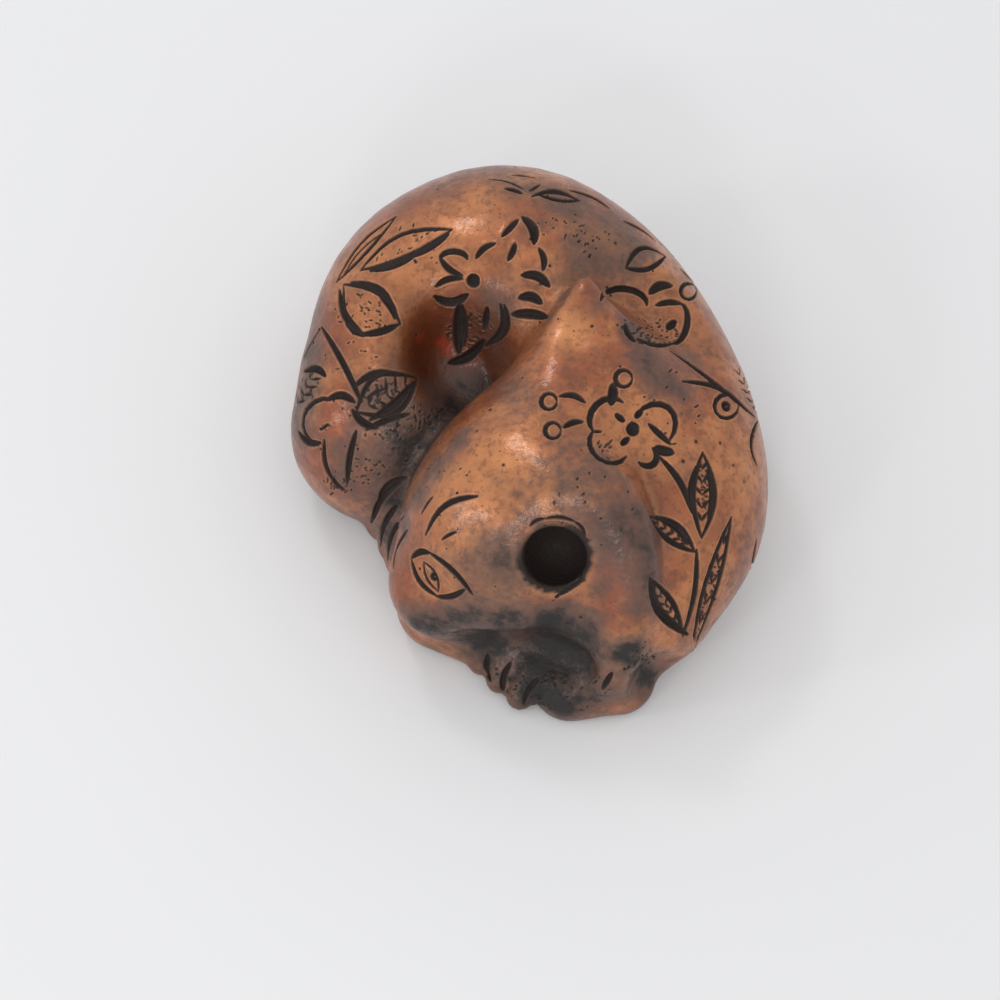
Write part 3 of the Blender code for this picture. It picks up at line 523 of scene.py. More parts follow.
FINE_EDGES = (
    (-8.1, 31.5, -6.4, 32.3, 0.1), (-1.1, 32.1, 2.4, 31.1, 0.3), (1.2, 32.5, 3.6, 32.2, 0.1),
    (2.9, 30.9, 4.0, 31.6, 0.0), (-18.0, 17.2, -19.6, 14.3, -0.1), (-17.5, 12.2, -21.0, 8.8, 0.1),
    (-18.0, 7.0, -17.2, 7.6, 0.0), (-13.4, 10.1, -11.3, 11.2, 0.2), (9.4, 6.9, 10.2, 6.9, 0.0),
    (-15.9, 22.2, -11.4, 27.0, 0.5), (3.0, -2.6, 4.5, -1.9, 0.2), (4.5, -1.9, 7.5, -2.2, 0.3),
    (7.5, -2.2, 8.5, -3.6, 0.2),
)
# Punched patches as u, v, half-lengths along and across, tilt in degrees, and number of strokes
PUNCHED = (
    (-13.1, 18.9, 2.1, 1.3, -60, 24), (-11.9, 10.6, 2.1, 1.2, 28, 40), (-19.4, 11.0, 1.9, 1.0, 58, 16),
    (15.0, 16.9, 2.9, 1.4, -12, 56), (10.7, 5.3, 1.0, 0.9, 0, 12), (20.3, 1.2, 3.0, 0.5, 90, 24),
    (20.9, -9.6, 4.6, 0.4, 73, 30), (17.0, -10.4, 2.4, 0.4, -58, 12), (17.2, -3.2, 2.0, 0.5, -38, 10),
    (-14.6, 2.2, 3.4, 1.8, 20, 34), (-9.6, 7.6, 4.2, 1.4, 20, 34), (13.9, -16.4, 1.9, 1.2, 50, 30),
    (7.0, -19.2, 4.8, 2.0, 0, 40), (1.5, -18.6, 2.6, 1.4, -40, 16), (7.6, 26.4, 4.0, 1.8, -10, 22),
    (-3.0, 16.9, 2.4, 1.8, 0, 22), (-8.0, 25.5, 5.0, 2.5, 20, 16), (-15.0, 16.0, 3.0, 4.0, 0, 14),
    (17.0, 9.0, 3.0, 4.0, 0, 12), (10.0, -1.0, 5.0, 4.0, 0, 14), (-6.0, 5.0, 4.0, 4.0, 0, 12),
)
PUNCH_LENGTHS = (0.08, 0.55)
PUNCH_CUT = 0.38
PUNCH_SEED = 7
BROAD_CUT = 1.4

# Clouds of tone on the front chart, each as u, v, radius and strength: smoky patina with painted shadow under
# the jaw and in creases, places worn golden by rubbing with painted sheen, painted red reflected light and
# shade in the flank's bowl with painted red glints, and clusters of casting pits
STAINS_AND_SHADOWS = (
    (0.0, -6.0, 4.5, 0.7), (-2.5, -8.2, 3.3, 0.35), (6.0, 1.2, 4.0, 0.45), (10.5, 3.0, 3.5, 0.4),
    (11.2, -6.0, 4.0, 0.35), (12.0, -2.5, 3.0, 0.5), (6.0, -11.2, 3.0, 0.45), (-5.0, -13.2, 2.6, 0.75),
    (-1.5, -13.7, 4.0, 0.95), (3.5, -14.0, 4.0, 1.0), (8.0, -14.5, 3.0, 1.0), (-8.5, -12.0, 2.0, 0.4),
    (15.0, -4.0, 3.0, 0.6), (14.5, -9.0, 3.0, 0.55), (14.0, -16.8, 2.6, 1.0), (0.0, -18.0, 3.0, 0.25),
    (6.5, -18.2, 3.8, 0.95), (12.0, -19.0, 3.0, 0.3), (-7.0, 7.5, 3.5, 0.9), (-10.0, 4.5, 4.0, 0.85),
    (-3.0, 10.0, 2.2, 0.8), (-10.7, 0.5, 3.0, 0.9), (-11.7, -3.5, 3.0, 0.8), (-16.5, 3.0, 3.0, 0.35),
    (-15.0, 6.0, 2.5, 0.2), (15.0, 13.8, 2.2, 0.7), (18.0, 11.2, 2.2, 0.5), (20.0, 3.0, 2.5, 0.3),
    (23.5, -6.0, 3.5, 0.3), (19.5, -12.5, 3.0, 0.15), (12.0, 26.5, 4.0, 0.45), (7.5, 25.5, 3.5, 0.35),
    (13.5, 16.8, 2.0, 0.75), (0.0, 20.0, 2.5, 0.45), (2.0, 10.5, 2.5, 0.4), (-20.0, 7.0, 2.5, 0.45),
    (-1.0, 16.0, 2.2, 0.3), (-5.0, 11.0, 2.4, 0.7), (-4.5, 9.0, 2.4, 0.8), (6.3, 20.2, 1.2, 0.6),
    (5.0, 18.2, 1.1, 0.5), (9.6, 19.3, 1.2, 0.45), (-19.5, 14.5, 2.4, 0.6), (-12.3, 10.6, 2.4, 0.6),
    (-19.3, 11.0, 2.0, 0.5), (4.5, -17.0, 3.0, 0.8), (3.0, -15.5, 3.0, 0.8), (12.5, 24.0, 3.0, 0.45),
    (17.5, 25.5, 3.0, 0.3), (9.0, -19.0, 2.0, 0.5), (3.0, 31.5, 4.0, 0.45), (-3.0, -11.6, 2.2, 0.7),
    (1.0, -12.0, 2.4, 0.8), (5.0, -12.3, 2.4, 0.85), (8.6, -12.6, 1.8, 0.85), (14.4, -1.5, 1.3, 0.55),
    (14.7, -4.5, 1.3, 0.65), (14.6, -7.5, 1.3, 0.65), (14.2, -10.5, 1.4, 0.6), (9.8, -9.0, 1.3, 0.45),
    (12.2, -15.2, 1.5, 0.95), (14.9, -17.6, 1.6, 0.95), (13.2, -14.8, 1.2, 0.8), (-4.0, 6.0, 1.6, 0.6),
    (-6.3, 3.4, 1.8, 0.65), (-8.4, 0.8, 1.8, 0.7), (-9.6, -2.6, 1.6, 0.7), (4.0, -18.6, 2.6, 0.7),
    (8.0, -19.4, 2.6, 0.7), (6.0, -16.4, 3.0, 0.95), (-18.5, 13.0, 3.0, 0.4), (13.6, -16.2, 1.8, 0.95),
    (12.6, -15.6, 1.2, 0.9), (-6.0, -12.4, 2.2, 0.85), (-8.4, -12.8, 1.6, 0.6), (-1.0, -13.0, 2.6, 0.95),
    (4.0, -13.0, 2.6, 0.95), (7.5, -13.4, 2.2, 0.95), (-3.5, -13.4, 2.2, 0.9), (-5.0, 32.2, 4.0, 0.4),
    (-18.0, 19.0, 3.5, 0.4), (-20.5, 9.0, 3.5, 0.5), (9.5, 22.5, 3.5, 0.15), (8.0, 29.0, 3.5, 0.4),
    (24.5, 9.5, 2.5, 0.3), (4.0, 22.0, 2.0, 0.2), (0.0, 12.0, 2.4, 0.4), (7.0, 9.0, 3.0, 0.2),
    (19.0, 14.5, 3.0, 0.3), (15.0, 12.0, 2.0, 0.4),
)
# Golden places: worn by rubbing, and painted sheen where light falls
RUBBED_AND_SHEEN = (
    (11.0, -16.0, 1.4, 0.6), (12.6, -19.8, 1.8, 0.6), (3.4, -20.6, 1.2, 0.5), (1.6, -18.6, 1.0, 0.5),
    (-3.0, 28.5, 5.0, 0.5), (-12.0, 25.0, 4.0, 0.5), (-5.0, 0.0, 4.0, 0.6), (0.0, 4.0, 4.0, 0.6),
    (-6.0, -6.0, 2.0, 0.4), (1.0, -10.0, 2.5, 0.4), (12.0, 6.0, 4.5, 0.45), (20.0, 17.0, 3.0, 0.4),
    (24.0, 2.0, 3.0, 0.4), (6.7, 17.0, 2.5, 0.8), (-11.0, 16.0, 3.0, 0.4), (19.0, -4.0, 3.0, 0.4),
    (12.0, -14.5, 1.6, 0.6),
)
# Painted red reflected light and shade in the flank's bowl
PAINTED_BOWL_REFLECTION = (
    (-7.4, 16.2, 3.6, 1.0), (-5.0, 14.6, 3.6, 1.0), (-2.0, 17.6, 3.2, 0.9), (-8.0, 12.8, 2.6, 0.9),
    (-3.0, 12.6, 3.0, 0.9), (-0.5, 14.6, 2.4, 0.6),
)
# Painted red glints in the flank's bowl
PAINTED_RED_GLINTS = ((-8.0, 16.2, 0.4, 0.8), (-5.8, 15.8, 0.5, 1.0), (-5.3, 14.9, 0.4, 0.9))
PIT_CLUSTERS = (
    (7.5, 26.8, 3.5, 1.0), (-2.5, 16.5, 3.0, 0.6), (-16.0, 4.0, 4.0, 1.0), (-2.8, -2.0, 3.0, 0.7),
    (-7.0, 9.0, 4.0, 0.8), (14.0, 17.0, 2.0, 0.8), (13.5, -16.5, 2.2, 1.0), (1.0, -19.0, 4.0, 0.5),
)
PIT_SPREAD = 0.12
PIT_RADII = (0.00006, 0.00016)
PIT_SINK = 0.6
PIT_SEED = 11

# The engraved skin: its mesh is halved twice near grooves, within these shares of their width
REFINED_BANDS = (0.6, 0.25)
WAVE_SEED = 5
SHIFT = np.array((-POSE_MIDDLE[0] * UNIT, -POSE_MIDDLE[1] * UNIT, -BASE_CUT))
# Rounds and evenness of drawing the mesh onto the form, before and after it is refined
SETTLING = (4, 0.5)
RESETTLING = (2, 0.25)
BASE_EDGE = 0.0004
TOE_DEPTH_SHARE = 2.4
FIELD_REACH = 3 * GROOVE_WIDTH
HOLLOW_PROBES = (0.0008, 0.0016, 0.0032, 0.0056)
RIDGE_PROBE = 0.0012
MILLIMETRE = 0.001
BORE_SHADE = 0.0007
FOOT_SHADE = 0.006
BURR = 0.00004
BURR_PLACE = 0.00012


def standing_field(points):
    """The form's distance field with everything below the resting plane cut off."""
    return smooth_cut(form_field(points), points[..., 2] - BASE_CUT, BASE_EDGE)


def outward(points):
    """Unit slope of the standing field, from four probes at a tetrahedron's corners."""
    corners = np.array(((1, -1, -1), (-1, -1, 1), (-1, 1, -1), (1, 1, 1)), dtype=float)
    slope = sum(corner * standing_field(points + corner * 0.03 * UNIT)[:, None] for corner in corners)
    return slope / (lengths(slope)[:, None] + 1e-12)


def read_points(mesh):
    """The mesh's vertex places as an array."""
    flat = np.empty(len(mesh.vertices) * 3)
    mesh.vertices.foreach_get("co", flat)
    return flat.reshape(-1, 3)


def write_points(mesh, points):
    """Put an array of vertex places into the mesh."""
    mesh.vertices.foreach_set("co", points.astype(np.float32).ravel())
    mesh.update()


def neighbour_mean(mesh, points):
    """For each vertex, the mean place of the vertices it shares an edge with."""
    edges = np.empty(len(mesh.edges) * 2, dtype=int)
    mesh.edges.foreach_get("vertices", edges)
    edges = edges.reshape(-1, 2)
    ends = np.concatenate((edges[:, 0], edges[:, 1]))
    others = np.concatenate((edges[:, 1], edges[:, 0]))
    count = np.bincount(ends, minlength=len(points))
    sums = [np.bincount(ends, weights=points[others, axis], minlength=len(points)) for axis in range(3)]
    return np.column_stack(sums) / count[:, None]


def settle(mesh, rounds, evenness):
    """Draw the mesh onto the standing form: each round evens the points, then steps down the slope."""
    points = read_points(mesh) - SHIFT
    for _ in range(rounds):
        points = (1 - evenness) * points + evenness * neighbour_mean(mesh, points)
        points = points - outward(points) * standing_field(points)[:, None]
    write_points(mesh, points + SHIFT)
    return points


def remeshed_copy(voxel):
    """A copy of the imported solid, merged and remeshed evenly, as a new mesh."""
    skin = bpy.data.meshes.new("cat_skin")
    shape = bmesh.new()
    shape.from_mesh(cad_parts[NODE].data)
    bmesh.ops.remove_doubles(shape, verts=shape.verts, dist=0.000001)
    shape.to_mesh(skin)
    shape.free()
    rough = linked("cat_rough", skin)
    remesh = rough.modifiers.new("even", "REMESH")
    remesh.mode = "VOXEL"
    remesh.voxel_size = voxel
    evaluated = rough.evaluated_get(bpy.context.evaluated_depsgraph_get())
    mesh = bpy.data.meshes.new_from_object(evaluated)
    bpy.data.objects.remove(rough, do_unlink=True)
    return mesh


def refine_near_grooves(mesh, grooves, band):
    """Halve the edges of the triangles that lie within band of a groove's edge."""
    field = groove_field(read_points(mesh) - SHIFT, grooves, 2 * band)
    shape = bmesh.new()
    shape.from_mesh(mesh)
    bmesh.ops.triangulate(shape, faces=shape.faces)
    shape.edges.ensure_lookup_table()
    near = field < band
    edges = [edge for edge in shape.edges if near[edge.verts[0].index] or near[edge.verts[1].index]]
    bmesh.ops.subdivide_edges(shape, edges=edges, cuts=1, use_grid_fill=True)
    bmesh.ops.triangulate(shape, faces=shape.faces)
    shape.to_mesh(mesh)
    shape.free()


def undulation(points, seed):
    """Slow waves of a hand-finished surface: a sum of eight sine waves in fixed random directions."""
    random = np.random.default_rng(seed)
    directions = random.normal(size=(8, 3))
    directions /= lengths(directions)[:, None]
    spacing = random.uniform(0.004, 0.009, 8)
    phase = random.uniform(0, 2 * np.pi, 8)
    return np.sin(points @ (directions / spacing[:, None]).T * 2 * np.pi + phase).mean(1)


def punched_lines(seed):
    """Short strokes strewn over the punched patches, each nearly along its patch's tilt."""
    random = np.random.default_rng(seed)
    lines = []
    for u, v, along, across, tilt, count in PUNCHED:
        reach = np.sqrt(random.uniform(size=count))[:, None]
        turn = random.uniform(0, 2 * np.pi, count)
        middles = (u, v) + reach * np.column_stack((along * np.cos(turn), across * np.sin(turn))) @ spun(tilt)
        heading = np.radians(tilt) + random.normal(0.6, 0.5, count)
        half = random.uniform(*PUNCH_LENGTHS, count)[:, None] / 2
        step = np.column_stack((np.cos(heading), np.sin(heading))) * half
        ends = zip(middles - step, middles + step)
        lines += [(np.linspace(start, end, 3), PUNCH_CUT) for start, end in ends]
    return lines


def skin_lines():
    """The skin's own cuts on the front chart."""
    edges = cut_lines(BROAD_EDGES, BROAD_CUT) + cut_lines(FINE_EDGES, FINE_CUT)
    return edges + punched_lines(PUNCH_SEED)


def clouds(points, spots):
    """Share from 0 to 1 of soft round spots: each falls off as a bell curve, and they overlap like dyes."""
    spots = np.array(spots)
    centres = onto_form(FRONT_CHART, spots[:, :2])[0]
    left = np.ones(len(points))
    for centre, (radius, strength) in zip(centres, spots[:, 2:]):
        away = lengths(points - centre) / (radius * UNIT)
        left *= 1.0 - strength * np.exp(-away ** 2)
    return 1.0 - left


def bore_share(points):
    """How far inside the near ear's bore each point is, full at BORE_SHADE below its mouth: the share of
    painted shade there.
    """
    from_mouth = points - EAR_MOUTH
    height = from_mouth @ EAR_LINE
    away = lengths(from_mouth - height[:, None] * EAR_LINE)
    return np.clip(-height / BORE_SHADE, 0.0, 1.0) * (away < EAR_BORE / 2 + BORE_SHADE)


def pit_grooves(places, count, seed):
    """Casting pits as very short grooves, at random vertices of the form, thickest in their clusters."""
    random = np.random.default_rng(seed)
    likely = PIT_SPREAD + clouds(places, PIT_CLUSTERS)
    chosen = random.choice(len(places), count, replace=False, p=likely / likely.sum())
    radii = random.uniform(*PIT_RADII, count)
    starts = np.column_stack((places[chosen], radii))
    ends = starts + np.append(random.normal(size=3) * 0.00003, 0.0)
    return [np.vstack(pair) for pair in zip(starts, ends)]


def hollowness(points, normal):
    """How shut in each point is: how far the field falls short of each probe's own length. It sets the patina
    and painted shade of hollows.
    """
    shut = np.zeros(len(points))
    for probe in HOLLOW_PROBES:
        shut += np.clip(1.0 - standing_field(points + normal * probe) / probe, 0.0, 1.0)
    return shut / len(HOLLOW_PROBES)


def ridge(points, normal):
    """How sharply each point bulges: how far the field inside falls short of the probe's length."""
    return np.clip(1.0 + standing_field(points - normal * RIDGE_PROBE) / RIDGE_PROBE, 0.0, 1.0)


def engraved_skin(settings):
    """The skin's mesh: the form, refined by its grooves, engraved, pitted, and measured for patina and for
    painted shade, highlights and reflections.
    """
    mesh = remeshed_copy(settings.voxel)
    settle(mesh, *SETTLING)
    grooves = carved_lines()
    for share in REFINED_BANDS:
        refine_near_grooves(mesh, grooves, share * settings.groove_width)
    points = settle(mesh, *RESETTLING)
    normal = outward(points)
    edge = groove_field(points, grooves, FIELD_REACH)
    pits = pit_grooves(points[points[:, 2] > 4 * BASE_CUT], settings.pits, PIT_SEED)
    pit_edge = groove_field(points, pits, FIELD_REACH)
    sunk = settings.groove_depth * np.clip(-edge / (0.5 * settings.groove_width), 0.0, TOE_DEPTH_SHARE) ** 0.8
    sunk += PIT_SINK * np.clip(-pit_edge, 0.0, MILLIMETRE)
    sunk -= BURR * np.exp(-((edge - BURR_PLACE) / (0.6 * BURR_PLACE)) ** 2)
    sunk += settings.unevenness * (0.5 + 0.5 * undulation(points, WAVE_SEED))
    carved = points - normal * sunk[:, None]
    # Painted shade: darker towards the floor and on faces that turn down, mixed into the stains
    foot = 0.5 * np.clip(1.0 - points[:, 2] / FOOT_SHADE, 0.0, 1.0)
    below = np.clip(-normal[:, 2], 0.0, 1.0)
    # One number for each vertex, under the names that the material reads
    measured = {
        "groove": edge / MILLIMETRE,
        "pit": pit_edge / MILLIMETRE,
        # Hollowness, for patina and painted shade in hollows
        "hollow": hollowness(points, normal),
        "ridge": ridge(points, normal),
        "stain": 1.0 - (1.0 - clouds(points, STAINS_AND_SHADOWS)) * (1.0 - foot) * (1.0 - 0.6 * below),
        "rubbed": clouds(points, RUBBED_AND_SHEEN),
        "glow": clouds(points, PAINTED_BOWL_REFLECTION),
        "ember": clouds(points, PAINTED_RED_GLINTS),
        "bore": bore_share(points),
    }
    for name, values in measured.items():
        attribute = mesh.attributes.new(name, "FLOAT", "POINT")
        attribute.data.foreach_set("value", values.astype(np.float32))
    write_points(mesh, np.clip(carved + SHIFT, np.array(NODE_LOW), np.array(NODE_HIGH)))
    mesh.shade_smooth()
    return mesh


# Shader building
def put(tree, socket, value):
    """Give a socket a plain value, or link it to another socket."""
    if isinstance(value, bpy.types.NodeSocket):
        tree.links.new(value, socket)
    else:
        socket.default_value = value


def feed(tree, node, **values):
    """Set a node's properties, and set or link its named inputs."""
    for name, value in values.items():
        if hasattr(node, name):
            setattr(node, name, value)
        else:
            put(tree, node.inputs[name.replace("_", " ")], value)
    return node


def add(tree, kind, **values):
    """A new node, fed with its values."""
    return feed(tree, tree.nodes.new(kind), **values)


def band(tree, value, low, high, swap=False):
    """A smooth step of a value from low to high, or falling if swapped."""
    ends = {"From_Min": low, "From_Max": high, "To_Min": float(swap), "To_Max": float(not swap)}
    step = add(tree, "ShaderNodeMapRange", interpolation_type="SMOOTHSTEP", clamp=True, Value=value, **ends)
    return step.outputs["Result"]


def arithmetic(tree, operation, first, second):
    """A math node on two values, each a socket or a number."""
    node = add(tree, "ShaderNodeMath", operation=operation)
    put(tree, node.inputs[0], first)
    put(tree, node.inputs[1], second)
    return node.outputs[0]


def blend_colour(tree, share, first, second):
    """A mix of two colours, each a socket or an RGBA value."""
    return add(tree, "ShaderNodeMix", data_type="RGBA", Factor=share, A=first, B=second).outputs["Result"]


def group_interface(name, inputs, outputs):
    """A new node group with float inputs and outputs, and its input and output nodes."""
    group = bpy.data.node_groups.new(name, "ShaderNodeTree")
    for label, value in inputs:
        socket = group.interface.new_socket(label, in_out="INPUT", socket_type="NodeSocketFloat")
        socket.default_value = value
    for label in outputs:
        group.interface.new_socket(label, in_out="OUTPUT", socket_type="NodeSocketFloat")
    return group, group.nodes.new("NodeGroupInput"), group.nodes.new("NodeGroupOutput")


def times(tree, first, second):
    """The product of two values."""
    return arithmetic(tree, "MULTIPLY", first, second)


def plus(tree, first, second):
    """The sum of two values."""
    return arithmetic(tree, "ADD", first, second)


def most(tree, first, *others):
    """The largest of several values."""
    for other in others:
        first = arithmetic(tree, "MAXIMUM", first, other)
    return first


def object_place(tree):
    """The place on the object itself, in metres."""
    return add(tree, "ShaderNodeTexCoord").outputs["Object"]


def mottle_group():
    """Patchy mask from two noises, the finer one breaking the edges of the broad one."""
    inputs = (("Scale", 150.0), ("Low", 0.45), ("High", 0.6))
    group, entry, leave = group_interface("mottle", inputs, ("Mask",))
    place = object_place(group)
    scale = entry.outputs["Scale"]
    broad = add(group, "ShaderNodeTexNoise", Detail=3.0, Roughness=0.55, Vector=place, Scale=scale)
    finer = times(group, scale, 5.0)
    fine = add(group, "ShaderNodeTexNoise", Detail=4.0, Roughness=0.6, Vector=place, Scale=finer)
    total = plus(group, times(group, broad.outputs["Fac"], 0.7), times(group, fine.outputs["Fac"], 0.3))
    mask = band(group, total, entry.outputs["Low"], entry.outputs["High"])
    feed(group, leave, Mask=mask)
    return group


def speckle_group():
    """Small round specks: cells whose random share is low, close to their centre."""
    inputs = (("Scale", 900.0), ("Share", 0.1), ("Size", 0.25))
    group, entry, leave = group_interface("speckle", inputs, ("Mask",))
    scale = entry.outputs["Scale"]
    cells = add(group, "ShaderNodeTexVoronoi", feature="F1", Vector=object_place(group), Scale=scale)
    pick = add(group, "ShaderNodeSeparateColor", Color=cells.outputs["Color"])
    chosen = arithmetic(group, "LESS_THAN", pick.outputs["Red"], entry.outputs["Share"])
    inside = arithmetic(group, "SUBTRACT", entry.outputs["Size"], cells.outputs["Distance"])
    depth = times(group, inside, 8.0)
    depth.node.use_clamp = True
    feed(group, leave, Mask=times(group, chosen, depth))
    return group


def placed_group(tree, group, **values):
    """A group in a material with its own values, as its Mask output."""
    node = tree.nodes.new("ShaderNodeGroup")
    node.node_tree = group
    for name, value in values.items():
        node.inputs[name].default_value = value
    return node.outputs["Mask"]


def vertex_value(tree, name):
    """A per-vertex number that the mesh carries."""
    return add(tree, "ShaderNodeAttribute", attribute_name=name).outputs["Fac"]


def new_material(name):
    """A new node material, with its tree and its shader."""
    material = bpy.data.materials.new(name)
    material.use_nodes = True
    return material, material.node_tree, material.node_tree.nodes["Principled BSDF"]


def bronze_material(colours):
    """Polished copper-bronze: bright on ridges, brown over broad patches, black in grooves, dark with patina
    and painted shade in hollows, with painted highlights and reflections.
    """
    material, tree, shader = new_material("copper_bronze_patina")
    mottle = mottle_group()
    speckle = speckle_group()
    groove = vertex_value(tree, "groove")
    broad = placed_group(tree, mottle, Scale=120.0, Low=0.40, High=0.58)
    small = placed_group(tree, mottle, Scale=420.0, Low=0.40, High=0.66)
    grime = placed_group(tree, mottle, Scale=260.0, Low=0.36, High=0.64)
    flecks = placed_group(tree, mottle, Scale=1300.0, Low=0.50, High=0.62)
    specks = placed_group(tree, speckle, Scale=850.0, Share=0.07, Size=0.22)
    dots = placed_group(tree, speckle, Scale=1900.0, Share=0.10, Size=0.30)
    ridges = times(tree, band(tree, vertex_value(tree, "ridge"), 0.12, 0.5), 0.5)
    # Golden places worn by rubbing, with painted sheen
    rubbed = times(tree, vertex_value(tree, "rubbed"), 0.85)
    thin = most(tree, times(tree, flecks, 0.45), times(tree, dots, 0.7))
    # Painted highlight: a pale band just outside each groove's edge
    lip = times(tree, band(tree, groove, 0.02, 0.10), band(tree, groove, 0.12, 0.22, swap=True))
    # Stains with painted shade under the jaw, in creases, towards the floor and on faces that turn down, plus
    # random grime
    stain = plus(tree, vertex_value(tree, "stain"), times(tree, grime, 0.34))
    stain = arithmetic(tree, "SUBTRACT", stain, 0.18)
    smoke_and_shade = band(tree, stain, 0.05, 0.60)
    # Hollows darkened with patina and painted shade
    shut = band(tree, vertex_value(tree, "hollow"), 0.10, 0.65)
    soot_and_shade = most(tree, band(tree, stain, 0.55, 1.0), times(tree, shut, 0.7))
    halo = times(tree, band(tree, groove, 0.05, 0.40, swap=True), 0.15)
    pits = band(tree, vertex_value(tree, "pit"), -0.02, 0.02, swap=True)
    cuts = band(tree, groove, -0.07, 0.05, swap=True)
    # Grooves, pits and specks blackened, and painted shade inside the ear's bore
    blackening_and_bore_shade = most(tree, cuts, pits, specks, vertex_value(tree, "bore"))
    # Layers from the metal up, each as the share it covers and its colour
    layers = (
        (times(tree, small, 0.6), colours.brown),
        (most(tree, ridges, rubbed), colours.bright_metal),
        (thin, colours.brown),
        # Painted highlight on groove lips
        (times(tree, lip, 0.4), colours.bright_metal),
        # Painted reflected light and shade in the flank's bowl, then painted red glints
        (vertex_value(tree, "glow"), colours.glow),
        (times(tree, vertex_value(tree, "ember"), 0.6), colours.ember),
        # Smoky patina with painted shade
        (times(tree, smoke_and_shade, 0.75), colours.smoke_and_shade),
        # Thick patina with painted shade in hollows
        (soot_and_shade, colours.patina),
        (halo, colours.patina),
        (blackening_and_bore_shade, colours.groove),
    )
    colour = blend_colour(tree, broad, colours.metal, colours.red_metal)
    for share, cover in layers:
        colour = blend_colour(tree, share, colour, cover)
    # The thicker the patina and painted shade, the less the surface is bare metal
    dull = most(tree, blackening_and_bore_shade, times(tree, soot_and_shade, 0.7), times(tree, smoke_and_shade, 0.35))
    bare = arithmetic(tree, "SUBTRACT", 1.0, times(tree, dull, 0.85))
    place = object_place(tree)
    peel = add(tree, "ShaderNodeTexNoise", Scale=900.0, Detail=2.0, Vector=place)
    grain = add(tree, "ShaderNodeTexNoise", Scale=2600.0, Detail=2.0, Vector=place)
    coarse = times(tree, grain.outputs["Fac"], plus(tree, 0.25, dull))
    height = plus(tree, coarse, times(tree, peel.outputs["Fac"], 0.6))
    height = arithmetic(tree, "SUBTRACT", height, specks)
    bump = add(tree, "ShaderNodeBump", Strength=0.7, Distance=0.00011, Height=height).outputs["Normal"]
    feed(
        tree, shader,
        Base_Color=colour,
        Metallic=times(tree, bare, 0.6),
        Specular_IOR_Level=times(tree, bare, 0.5),
        Roughness=plus(tree, plus(tree, 0.40, times(tree, small, 0.12)), times(tree, dull, 0.25)),
        Coat_Weight=times(tree, bare, 0.4),
        Coat_Roughness=0.16,
        Normal=bump,
        Coat_Normal=bump,
    )
    return material


def floor_material(colours):
    """Matt pale card, with the faintest unevenness of tone."""
    material, tree, shader = new_material("pale_floor")
    tone = add(tree, "ShaderNodeTexNoise", Scale=9.0, Detail=2.0, Vector=object_place(tree)).outputs["Fac"]
    darker = [0.97 * part for part in colours.floor[:3]] + [1]
    feed(tree, shader, Base_Color=blend_colour(tree, tone, colours.floor, darker), Roughness=0.75)
    return material


# Settings, operators and panel
def tint(name, description, value):
    """A colour property."""
    return bpy.props.FloatVectorProperty(
        name=name, description=description, subtype="COLOR", size=4, min=0.0, max=1.0, default=(*value, 1.0)
    )


def number(name, description, value, **kind):
    """A number property."""
    return bpy.props.FloatProperty(name=name, description=description, default=value, **kind)


def span(name, description, value):
    """A length property."""
    return number(name, description, value, unit="LENGTH")


class OkimonoSkinSettings(bpy.types.PropertyGroup):
    """Sizes of the engraved skin."""

    voxel: span("Mesh spacing", "Spacing of the skin's points away from the grooves", 0.00056)
    groove_width: span("Groove width", "Width of a full chisel cut", GROOVE_WIDTH)
    groove_depth: span("Groove depth", "Depth of a full chisel cut", GROOVE_DEPTH)
    unevenness: span("Unevenness", "Depth of the slow waves left by hand polishing", 0.00010)
    pits: bpy.props.IntProperty(name="Pits", description="Number of open casting pits", default=260)


class OkimonoFinishSettings(bpy.types.PropertyGroup):
    """Colours of the metal, its patina, its painted shade, highlights and reflections, and the floor."""

    metal: tint("Metal", "Polished copper-bronze", (0.50, 0.188, 0.072))
    red_metal: tint("Red metal", "Redder, duller patches", (0.31, 0.084, 0.034))
    # This colour also paints highlights on the groove lips and sheen on the golden places
    bright_metal: tint("Rubbed metal", "Ridges and bellies rubbed golden", (0.68, 0.290, 0.110))
    # Painted red reflected light and shade of the flank's bowl
    glow: tint("Glow", "Orange-brown depth of the flank's bowl", (0.145, 0.036, 0.010))
    # Painted red glints in the flank's bowl
    ember: tint("Ember", "Red gleam deep in the flank's bowl", (0.60, 0.035, 0.015))
    brown: tint("Brown", "Thin brown patina", (0.155, 0.052, 0.026))
    # This colour also paints shade under the jaw, in creases and towards the floor
    smoke_and_shade: tint("Smoke", "Smoky grey-brown patina", (0.110, 0.073, 0.062))
    # This colour also paints shade in hollows
    patina: tint("Patina", "Thick dark patina in hollows", (0.030, 0.026, 0.025))
    # This colour also paints the shade inside the ear's bore
    groove: tint("Groove", "Blackened grooves and pits", (0.040, 0.030, 0.027))
    floor: tint("Floor", "Pale floor", (0.85, 0.855, 0.87))


class OkimonoStageSettings(bpy.types.PropertyGroup):
    """Floor, light and camera."""

    floor_size: span("Floor size", "Side of the square floor", 3.0)
    left_power: number("Left light", "Power of the left softbox", 0.12)
    top_power: number("Top light", "Power of the softbox overhead, behind the left", 0.12)
    front_power: number("Front light", "Power of the low front softbox", 0.18)
    side_power: number("Side light", "Power of the softbox between left and front", 0.12)
    surround: number("Surround", "Strength of the even white surround", 0.81)


def linked(name, data):
    """A new object for some data, linked into the scene."""
    thing = bpy.data.objects.new(name, data)
    bpy.context.scene.collection.objects.link(thing)
    return thing


def face(thing, place, aim):
    """Put a light or camera at a place, looking at a point."""
    thing.location = place
    thing.rotation_mode = "QUATERNION"
    thing.rotation_quaternion = Vector(np.subtract(aim, place)).to_track_quat("-Z", "Y")


